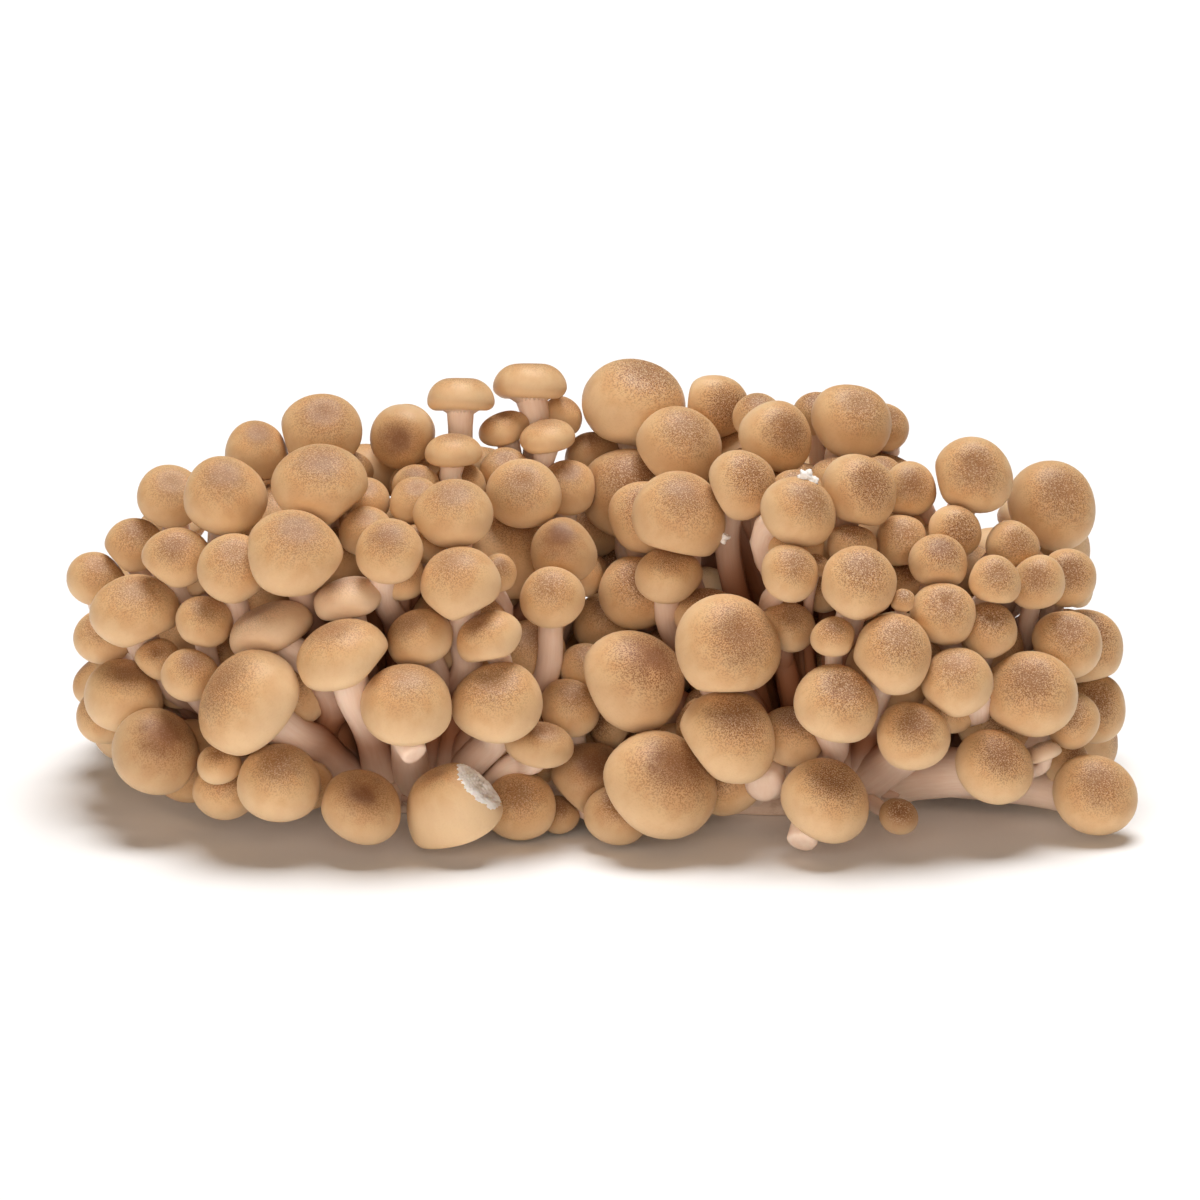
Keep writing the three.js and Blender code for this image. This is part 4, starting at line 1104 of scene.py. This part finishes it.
class MUSHROOM_OT_caps(bpy.types.Operator):
    """Grow the domed caps of both lobes"""

    bl_idname = "mushroom.caps"
    bl_label = "Caps"

    def execute(self, context):
        own = grown(context)
        skin = fresh_cap_skin(context.scene.mushroom_colours)
        for side, members in bunches(own.heap):
            members = members[members != own.heap.torn]
            charted = members < own.heap.charted
            for part, rows in (("front", members[charted]), ("back", members[~charted])):
                piece = cap_piece(f"{side}_caps_{part}", own, rows, skin)
                settle_piece(piece, "cap_skin", f"{side}_bunch")
        return {"FINISHED"}


class MUSHROOM_OT_torn_cap(bpy.types.Operator):
    """Grow the cap whose side has come off"""

    bl_idname = "mushroom.torn_cap"
    bl_label = "Torn cap"

    def execute(self, context):
        own = grown(context)
        points, run, skin, torn = torn_points(own)
        marks = {label: np.full(run.shape, own.forms[label][own.heap.torn])
                 for label in SKIN_LABELS}
        piece = write_mesh("torn_cap", points, TORN_DOME_RINGS + TORN_LIP_RINGS, TORN_TURNS,
                           {"run": run, "skin": skin, "torn": torn, **marks},
                           fresh_cap_skin(context.scene.mushroom_colours, with_tear=True))
        settle_piece(piece, "cap_skin", "left_bunch")
        return {"FINISHED"}


class MUSHROOM_OT_stems(bpy.types.Operator):
    """Grow the stems, from the caps down to the root"""

    bl_idname = "mushroom.stems"
    bl_label = "Stems"

    def execute(self, context):
        own = grown(context)
        flesh = stem_flesh(context.scene.mushroom_colours)
        for side, members in bunches(own.heap):
            points, fibre, painted_shade = stem_points(own, members)
            piece = write_mesh(f"{side}_stems", points, STEM_RINGS, STEM_TURNS,
                               {"fibre": fibre, "painted_shade": painted_shade}, flesh)
            settle_piece(piece, "stem_flesh", f"{side}_bunch")
        return {"FINISHED"}


class MUSHROOM_OT_gills(bpy.types.Operator):
    """Grow the gills under the caps"""

    bl_idname = "mushroom.gills"
    bl_label = "Gills"

    def execute(self, context):
        own = grown(context)
        flesh = stem_flesh(context.scene.mushroom_colours, "gill_flesh", "Object")
        for side, members in bunches(own.heap):
            piece = write_mesh(f"{side}_gills", gill_points(own, members), len(GILL_SECTION),
                               GILL_TURNS, {}, flesh)
            settle_piece(piece, "stem_flesh", f"{side}_bunch")
        return {"FINISHED"}


class MUSHROOM_OT_root(bpy.types.Operator):
    """Grow the root that joins the stems, cut flat below"""

    bl_idname = "mushroom.root"
    bl_label = "Root"

    def execute(self, context):
        points, rows = root_points()
        piece = write_mesh("root", points, rows, ROOT_TURNS, {},
                           cut_root_flesh(context.scene.mushroom_colours))
        settle_piece(piece, "stem_flesh", "cut_foot")
        return {"FINISHED"}


class MUSHROOM_OT_ends(bpy.types.Operator):
    """Add the loose stem ends and the torn scraps of flesh"""

    bl_idname = "mushroom.ends"
    bl_label = "Stem ends and scraps"

    def execute(self, context):
        colours = context.scene.mushroom_colours
        ends = [end_points(radius, face_point(*start), face_point(*end))
                for start, end, radius in STEM_ENDS]
        piece = write_mesh("stem_ends", np.concatenate(ends), END_RINGS + len(CLOSE_ALONG),
                           SMALL_TURNS, {}, stem_flesh(colours, "stem_end_flesh", "Object"))
        settle_piece(piece, "stem_flesh", "right_bunch")
        scraps = [scrap_points(face_point(*place), size, 2.0 * row)
                  for row, (*place, size) in enumerate(SCRAPS)]
        piece = write_mesh("torn_scraps", np.concatenate(scraps), SCRAP_ROWS, SMALL_TURNS, {},
                           torn_flesh(colours))
        settle_piece(piece, "stem_flesh", "right_bunch")
        return {"FINISHED"}


VIEW_MM = 240.0             # width of the picture at the cluster
VIEW_CENTRE_UP = 38.0       # its middle, up the tilted face
CAMERA_AWAY = 6.0
CAMERA_SEES = 50.0
SENSOR_MM = 36.0
# Lights: name, place in metres, width in metres, watts and tint.
WHITE, WARM = (1.0, 1.0, 1.0), (1.0, 0.87, 0.75)
LIGHTS = (
    ("key", (0.15, 0.5, 2.2), 1.5, 61.0, WHITE),
    ("front_card", (0.0, -1.7, 0.4), 1.5, 15.5, WARM),
    ("left_card", (-1.4, -1.3, 0.4), 1.0, 8.0, WARM),
)
LIGHTS_AIM = Vector((0, 0, 0.03))
WORLD_TINT, WORLD_STRENGTH = (1, 0.66, 0.46, 1), 0.04


class MUSHROOM_OT_stage(bpy.types.Operator):
    """Set the floor, the camera and the light"""

    bl_idname = "mushroom.stage"
    bl_label = "Stage"

    def execute(self, context):
        scene = context.scene
        size = scene.mushroom_sizes.floor_size / 2
        mesh = bpy.data.meshes.new("floor")
        corners = [(x * size, y * size, 0) for x, y in ((-1, -1), (1, -1), (1, 1), (-1, 1))]
        mesh.from_pydata(corners, [], [(0, 1, 2, 3)])
        mesh.materials.append(plain_floor(scene.mushroom_colours))
        floor = bpy.data.objects.new("floor", mesh)
        scene.collection.objects.link(floor)

        aim = Vector((TO_MIDDLE + face_point(0, VIEW_CENTRE_UP, 0)) * MM)
        away = Vector(-FACE_IN)
        camera = bpy.data.cameras.new("camera")
        camera.sensor_width = SENSOR_MM
        camera.lens = SENSOR_MM * CAMERA_AWAY / (VIEW_MM * MM)
        camera.clip_end = CAMERA_SEES
        eye = bpy.data.objects.new("camera", camera)
        eye.location = aim + away * CAMERA_AWAY
        eye.rotation_euler = away.to_track_quat("Z", "Y").to_euler()
        scene.collection.objects.link(eye)
        scene.camera = eye

        for name, place, width, watts, tint in LIGHTS:
            lamp = bpy.data.lights.new(name, "AREA")
            lamp.shape = "DISK"
            lamp.size, lamp.energy, lamp.color = width, watts, tint
            light = bpy.data.objects.new(name, lamp)
            light.location = place
            light.rotation_euler = (Vector(place) - LIGHTS_AIM).to_track_quat("Z", "Y").to_euler()
            light.visible_camera = False
            scene.collection.objects.link(light)

        world = bpy.data.worlds.new("studio")
        world.use_nodes = True
        background = world.node_tree.nodes["Background"]
        background.inputs["Color"].default_value = WORLD_TINT
        background.inputs["Strength"].default_value = WORLD_STRENGTH
        scene.world = world
        scene.view_settings.view_transform = "Standard"
        return {"FINISHED"}


class MUSHROOM_PT_cluster(bpy.types.Panel):
    """The cluster's pieces, sizes and colours"""

    bl_idname = "MUSHROOM_PT_cluster"
    bl_label = "Beech mushroom cluster"
    bl_space_type = "VIEW_3D"
    bl_region_type = "UI"
    bl_category = "Mushrooms"

    def draw(self, context):
        for operator in OPERATORS:
            self.layout.operator(operator.bl_idname)
        for group in (context.scene.mushroom_sizes, context.scene.mushroom_colours):
            box = self.layout.box()
            for label in group.__annotations__:
                box.prop(group, label)


OPERATORS = (MUSHROOM_OT_stage, MUSHROOM_OT_caps, MUSHROOM_OT_torn_cap, MUSHROOM_OT_stems,
             MUSHROOM_OT_gills, MUSHROOM_OT_root, MUSHROOM_OT_ends)
CLASSES = (ClusterSizes, ClusterColours, *OPERATORS, MUSHROOM_PT_cluster)


def register():
    """Registers the classes and the scene's settings."""
    for kind in CLASSES:
        bpy.utils.register_class(kind)
    bpy.types.Scene.mushroom_sizes = PointerProperty(type=ClusterSizes)
    bpy.types.Scene.mushroom_colours = PointerProperty(type=ClusterColours)


def unregister():
    """Takes back what register() did."""
    del bpy.types.Scene.mushroom_colours
    del bpy.types.Scene.mushroom_sizes
    for kind in reversed(CLASSES):
        bpy.utils.unregister_class(kind)


def main():
    """Builds the cluster."""
    register()
    for operator in OPERATORS:
        group, label = operator.bl_idname.split(".")
        getattr(getattr(bpy.ops, group), label)()


if __name__ == "__main__":
    main()
